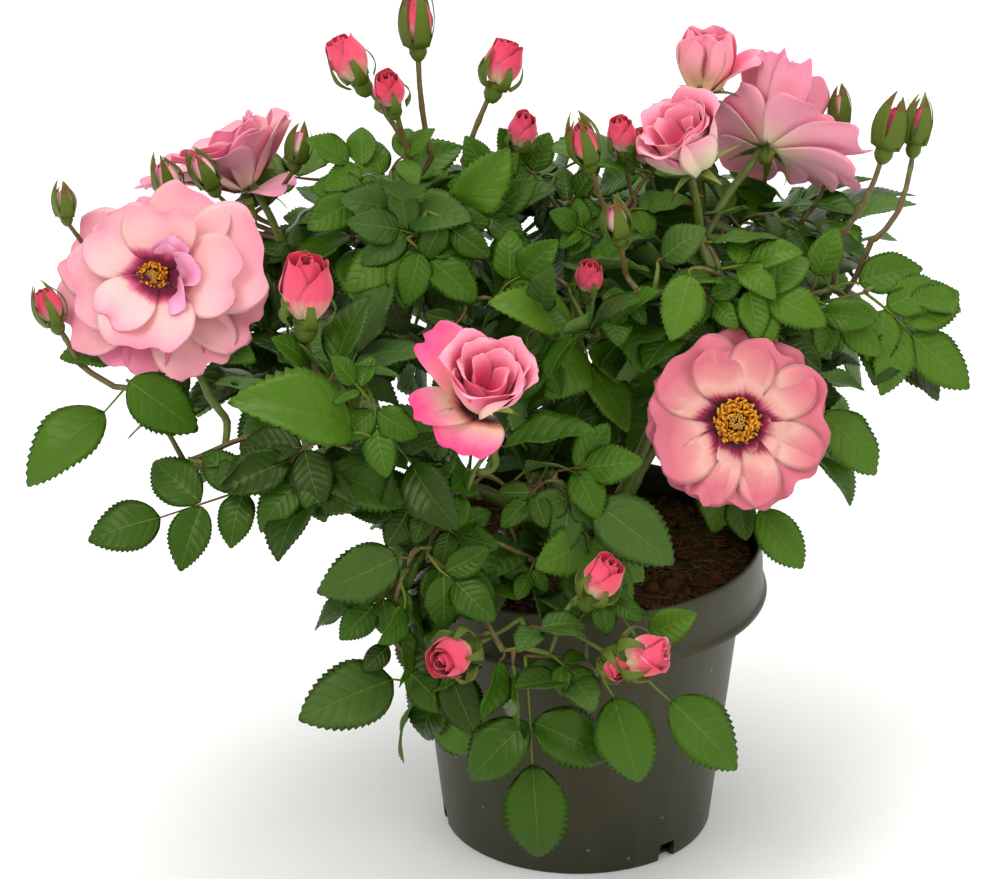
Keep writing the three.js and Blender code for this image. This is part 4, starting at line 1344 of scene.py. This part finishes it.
for solid, place, aim, radius, length, show, looks, stalkStart in smallBuds:
    rng = np.random.default_rng(int(radius * 100 + length + abs(place[0])))
    centre = middleOf(solid) + np.array(place)
    axes = bloomAxes(aim)
    plan = {"face": looks[0], "back": looks[1], "opening": 0.12 + 0.25 * show, "show": show}
    addBud(centre, axes, radius, length, plan, rng)
    foot = centre + np.array(stalkStart)
    neck = centre - axes[2] * radius * 0.7
    bend = (foot + neck) / 2 - axes[2] * 4
    path = np.array([springFrom(foot), foot, bend, neck])
    look = 0 if solid == "leaves_front_cluster" else 1
    addStem(budStalkHeap, path, np.array([1.3, 1.2, 1.1, 1.1]), look, rng, False)
makePiece("bud_petals", budHeap, petalMaterials, list(budPlans), petalTiles)
makePiece("bud_stalks", budStalkHeap, stemMaterials)
makePiece("stamens", stamenHeap, stamenMaterials)
makePiece("calyces", calyxHeap, calyxMaterials)
print("buds made")

# Pot: injection-moulded polypropylene nursery pot, olive charcoal.
# It gives a satin skin with faint upright flow streaks, scuffs and specks of dried splash.
potForm = {
    "segments": 180, "wall": 2.0, "footRadius": 70.0, "shoulderRadius": 85.0, "bandHeight": 30.0,
    "bandRadius": 95.0, "lipRadius": 98.0,
    "notches": 3, "notchWidth": 12.0, "notchHeight": 10.0, "notchTurn": -49,
    "skin": "#24251a", "dark": "#1e1f14", "light": "#2d2e20", "splash": "#5f5e4c", "gloss": "#fff4cc",
}


def potMaterial():
    material, tree, shader = newMaterial("injectionMouldedPolypropylene", {
        "IOR": 1.49, "Specular IOR Level": 0.42, "Specular Tint": hexToLinear(potForm["gloss"]),
    })
    coords = addNode(tree, "ShaderNodeTexCoord")
    upright = addNode(tree, "ShaderNodeMapping", {"Scale": (1 / (9 * mm), 1 / (9 * mm), 1 / (120 * mm))},
                      {"Vector": coords.outputs["Object"]})
    streaks = addNode(tree, "ShaderNodeTexNoise", {"Scale": 1.0, "Detail": 4.0},
                      {"Vector": upright.outputs[0]})
    tone = addNode(tree, "ShaderNodeValToRGB",
                   {"stops": [(0.3, potForm["dark"]), (0.55, potForm["skin"]), (0.85, potForm["light"])]},
                   {"Fac": streaks.outputs["Fac"]})
    specks = addNode(tree, "ShaderNodeTexVoronoi", {"Scale": 1 / (16 * mm)},
                     {"Vector": coords.outputs["Object"]})
    speckMask = addNode(tree, "ShaderNodeMath", {"operation": "LESS_THAN", 1: 0.055},
                        {0: specks.outputs["Distance"]})
    tint = addNode(tree, "ShaderNodeMix", {"data_type": "RGBA", "B": hexToLinear(potForm["splash"])},
                   {"Factor": speckMask.outputs[0], "A": tone.outputs["Color"]})
    tree.links.new(tint.outputs["Result"], shader.inputs["Base Color"])
    scuffs = addNode(tree, "ShaderNodeTexNoise", {"Scale": 1 / (22 * mm), "Detail": 6.0},
                     {"Vector": coords.outputs["Object"]})
    rough = addNode(tree, "ShaderNodeMapRange", {"To Min": 0.36, "To Max": 0.5},
                    {"Value": scuffs.outputs["Fac"]})
    tree.links.new(rough.outputs["Result"], shader.inputs["Roughness"])
    bump = addNode(tree, "ShaderNodeBump", {"Strength": 0.15, "Distance": 0.25 * mm},
                   {"Height": streaks.outputs["Fac"]})
    tree.links.new(bump.outputs["Normal"], shader.inputs["Normal"])
    return material


def buildPot():
    height = potHigh[2]
    wall = potForm["wall"]
    foot, shoulder = potForm["footRadius"], potForm["shoulderRadius"]
    band, lip = potForm["bandRadius"], potForm["lipRadius"]
    bandFoot = height - potForm["bandHeight"]
    wallSteps = np.linspace(0, 1, 14)[1:-1]
    profile = [(0, 0), (foot - 12, 0), (foot - 2, 0), (foot - 0.6, 0.4), (foot, 1.6)]
    profile += [(foot + (shoulder - foot) * t, 1.6 + (bandFoot - 2.4 - 1.6) * t) for t in wallSteps]
    profile += [
        (shoulder, bandFoot - 2.4), (shoulder + 1.2, bandFoot - 1.2), (lip - 2.6, bandFoot - 1),
        (lip - 1.2, bandFoot - 0.9), (lip - 0.3, bandFoot - 0.3), (lip, bandFoot + 0.8),
        (lip - 0.3, bandFoot + 2.2), (lip - 1.4, bandFoot + 3.2), (lip - 2, bandFoot + 4.4),
        (lip - 2.3, bandFoot + 12), (band + 0.3, height - 8), (band + 0.2, height - 2),
        (band, height - 0.9), (band - 0.5, height - 0.2), (band - 1, height), (band - 1.6, height - 0.2),
        (band - wall, height - 0.9), (band - wall + 0.2, height - 8), (lip - 2 - wall, bandFoot + 4),
        (lip - 2.4 - wall, bandFoot + wall), (shoulder - wall + 1, bandFoot + 0.6),
        (shoulder - wall, bandFoot - 1),
        (foot - wall, wall + 2), (foot - wall - 2, wall), (0, wall),
    ]
    profile = np.array(profile)
    segments = potForm["segments"]
    turns = np.arange(segments) * 2 * math.pi / segments
    points = [[0, 0, profile[0, 1]], [0, 0, profile[-1, 1]]]
    inner = profile[1:-1]
    for radius, z in inner:
        points += [(radius * math.cos(t), radius * math.sin(t), z) for t in turns]
    faces = []
    for k in range(segments):
        n = (k + 1) % segments
        faces.append((0, 2 + n, 2 + k))
        for row in range(len(inner) - 1):
            a, b = 2 + row * segments, 2 + (row + 1) * segments
            faces += [(a + k, a + n, b + n), (a + k, b + n, b + k)]
        last = 2 + (len(inner) - 1) * segments
        faces.append((1, last + k, last + n))
    heap = Heap()
    heap.add(points, faces, 0)
    pot = makePiece("pot_shell", heap, [potMaterial()], ["pot"])
    cutter = Heap()
    for k in range(potForm["notches"]):
        turn = math.radians(potForm["notchTurn"]) + k * 2 * math.pi / potForm["notches"]
        block = cubeCorners * np.array([6.0, potForm["notchWidth"] / 2, potForm["notchHeight"]])
        block[:, 0] += foot
        block[cubeCorners[:, 2] > 0, 1] *= 0.8  # the notch narrows upwards
        c, s = math.cos(turn), math.sin(turn)
        turned = np.stack([block[:, 0] * c - block[:, 1] * s, block[:, 0] * s + block[:, 1] * c,
                           block[:, 2]], 1)
        cutter.add(turned, cubeFaces, 0)
    tool = bpy.data.meshes.new("notchTool")
    tool.from_pydata((np.concatenate(cutter.points) * mm).tolist(), [],
                     np.concatenate(cutter.faces).tolist())
    toolObject = bpy.data.objects.new("notchTool", tool)
    bpy.context.scene.collection.objects.link(toolObject)
    cut = pot.modifiers.new("notches", "BOOLEAN")
    cut.operation = "DIFFERENCE"
    cut.object = toolObject
    made = bpy.data.meshes.new_from_object(pot.evaluated_get(bpy.context.evaluated_depsgraph_get()))
    pot.modifiers.clear()
    pot.data = made
    bpy.data.objects.remove(toolObject)
    made.shade_smooth()
    made.set_sharp_from_angle(angle=math.radians(38))
    return pot


buildPot()
print("pot made")

# Compost: moist peat with bark chips and pale fibres, a broken dark surface that drinks light
compostForm = {
    "seed": 301, "rings": 70, "segments": 150, "lump": 2.2, "grit": 0.35,  # heights of lumps and crumbs
    "chips": 620, "bigChips": 14, "bigSize": 1.9, "fibres": 420, "fibreRadius": 0.22,
    "peat": "#35230e", "peatLight": "#553c1b", "chip": "#5c3a1c", "redChip": "#6e4020",
    "fibre": "#93754a",
}


def compostMaterial(name, dark, light, size):
    material, tree, shader = newMaterial(name, {"Roughness": 0.92, "IOR": 1.4, "Specular IOR Level": 0.25})
    coords = addNode(tree, "ShaderNodeTexCoord")
    crumbs = addNode(tree, "ShaderNodeTexNoise", {"Scale": 1 / (size * mm), "Detail": 6.0, "Roughness": 0.7},
                     {"Vector": coords.outputs["Object"]})
    tone = addNode(tree, "ShaderNodeValToRGB", {"stops": [(0.35, dark), (0.7, light)]},
                   {"Fac": crumbs.outputs["Fac"]})
    tree.links.new(tone.outputs["Color"], shader.inputs["Base Color"])
    bump = addNode(tree, "ShaderNodeBump", {"Strength": 0.9, "Distance": 1.2 * mm},
                   {"Height": crumbs.outputs["Fac"]})
    tree.links.new(bump.outputs["Normal"], shader.inputs["Normal"])
    return material


compostMaterials = [
    compostMaterial("moistPeat", compostForm["peat"], compostForm["peatLight"], 3.0),
    compostMaterial("barkChip", compostForm["chip"], compostForm["peatLight"], 2.0),
    compostMaterial("redBarkChip", compostForm["redChip"], compostForm["chip"], 2.0),
    compostMaterial("coirFibre", compostForm["fibre"], compostForm["chip"], 2.0),
]


def buildCompost():
    rng = np.random.default_rng(compostForm["seed"])
    top = compostHigh[2]
    edge = compostHigh[0] - 1.0
    rings, segments = compostForm["rings"], compostForm["segments"]
    waves = [(rng.normal(0, 0.09 * (1 + k * 0.35), 2), rng.uniform(0, 6.28), compostForm["lump"] / (2 + k))
             for k in range(16)]

    def surface(x, y):
        z = top - 3.4 * (np.hypot(x, y) / edge) ** 2 - 1.0
        for (wx, wy), phase, size in waves:
            z = z + size * 0.5 * np.sin(wx * x + wy * y + phase)
        return np.minimum(z, top + 1.5)

    radius = np.repeat(np.linspace(1 / rings, 1, rings), segments) * edge
    turn = np.tile(np.arange(segments) * 2 * math.pi / segments, rings)
    x, y = radius * np.cos(turn), radius * np.sin(turn)
    z = surface(x, y) + rng.normal(0, compostForm["grit"], len(x))
    skirt = 6 * np.maximum(0, radius / edge - 0.985) / 0.015
    points = np.concatenate([np.stack([x, y, z - skirt], 1), [[0, 0, float(surface(0.0, 0.0))]]])
    faces = []
    ring = np.arange(segments)
    after = (ring + 1) % segments
    for row in range(rings - 1):
        a, b = row * segments, (row + 1) * segments
        faces.append(np.stack([a + ring, b + ring, b + after], 1))
        faces.append(np.stack([a + ring, b + after, a + after], 1))
    faces.append(np.stack([np.full(segments, rings * segments), ring, after], 1))
    heap = Heap()
    heap.add(points, np.concatenate(faces), 0)
    makePiece("compost_surface", heap, compostMaterials, ["compost"])
    chips = Heap()
    for k in range(compostForm["chips"]):
        spot = edge * 0.97 * math.sqrt(rng.random())
        t = rng.uniform(0, 6.28)
        px, py = spot * math.cos(t), spot * math.sin(t)
        size = np.array([rng.uniform(1.2, 4.6), rng.uniform(0.7, 2.0), rng.uniform(0.4, 1.0)])
        if k < compostForm["bigChips"]:
            size *= compostForm["bigSize"]
        axes = axesAlong(rng.normal(0, 1, 3) * [1, 1, 0.3], [rng.normal(0, 0.3), rng.normal(0, 0.3), 1])
        corners = cubeCorners * size * rng.uniform(0.7, 1.2, (8, 3))
        middle = np.array([px, py, float(surface(px, py)) + 0.5])
        chips.add(middle + corners @ axes, cubeFaces, 1 if k % 3 else 2)
    for k in range(compostForm["fibres"]):
        spot = edge * 0.96 * math.sqrt(rng.random())
        t = rng.uniform(0, 6.28)
        start = np.array([spot * math.cos(t), spot * math.sin(t), 0])
        step = unit(rng.normal(0, 1, 3) * [1, 1, 0]) * rng.uniform(3, 8)
        path = [start - step, start + rng.normal(0, 1, 3), start + step]
        path = [(*p[:2], float(surface(p[0], p[1])) + rng.uniform(0.3, 1.6)) for p in path
                if math.hypot(p[0], p[1]) < edge * 0.98]
        if len(path) == 3:
            addTube(chips, smoothPath(path, 5), np.full(5, compostForm["fibreRadius"]), 4, 3)
    makePiece("compost_chips", chips, compostMaterials)


buildCompost()
print("compost made")

# Stage: a pale floor, soft studio light and the camera
stageLook = {
    "floor": "#f4f4f2", "floorSize": 30, "sky": "#ffffff", "skyStrength": 0.9,
    "distance": 3.0, "elevation": 25.0, "lens": 210.6, "aimHeight": 0.4705,  # a share of the height
    "lamps": [  # name, place, size across and power
        ("keyLight", (-1.3, -1.6, 2.2), 1.4, 30),
        ("fillLight", (1.8, -1.4, 1.3), 1.6, 12),
        ("topLight", (0.1, 0.5, 2.4), 1.6, 26),
    ],
}


def buildStage():
    scene = bpy.context.scene
    bpy.ops.mesh.primitive_plane_add(size=stageLook["floorSize"], location=(0, 0, 0))
    floor = bpy.context.object
    floor.name = "floor"
    floorSettings = {"Base Color": hexToLinear(stageLook["floor"]), "Roughness": 0.9}
    floor.data.materials.append(newMaterial("paleFloor", floorSettings)[0])
    world = bpy.data.worlds.new("softSky")
    scene.world = world
    world.use_nodes = True
    background = world.node_tree.nodes["Background"]
    background.inputs["Color"].default_value = hexToLinear(stageLook["sky"])
    background.inputs["Strength"].default_value = stageLook["skyStrength"]
    for name, place, size, power in stageLook["lamps"]:
        data = bpy.data.lights.new(name, "AREA")
        data.shape = "DISK"
        data.size = size
        data.energy = power
        light = bpy.data.objects.new(name, data)
        light.location = place
        toward = -np.array(place) + np.array([0, 0, 0.25])
        axes = axesAlong(toward, [0, 0, 1])
        turned = np.stack([axes[0], axes[2], -axes[1]], 1)  # a lamp shines along its own -z
        light.rotation_euler = Matrix(turned.tolist()).to_euler()
        scene.collection.objects.link(light)
    aim = np.array([(cadBounds[0][0] + cadBounds[1][0]) / 2, 0.0, cadBounds[1][2] * stageLook["aimHeight"]])
    elevation = math.radians(stageLook["elevation"])
    back = np.array([0.0, -math.cos(elevation), math.sin(elevation)])
    data = bpy.data.cameras.new("camera")
    data.lens = stageLook["lens"]
    data.sensor_width = 36
    data.clip_end = 50
    camera = bpy.data.objects.new("camera", data)
    camera.location = aim + back * stageLook["distance"]
    camera.rotation_euler = (math.pi / 2 - elevation, 0, 0)
    scene.collection.objects.link(camera)
    scene.camera = camera
    scene.view_settings.view_transform = "Standard"
    scene.view_settings.look = "None"



buildStage()
print("stage set")
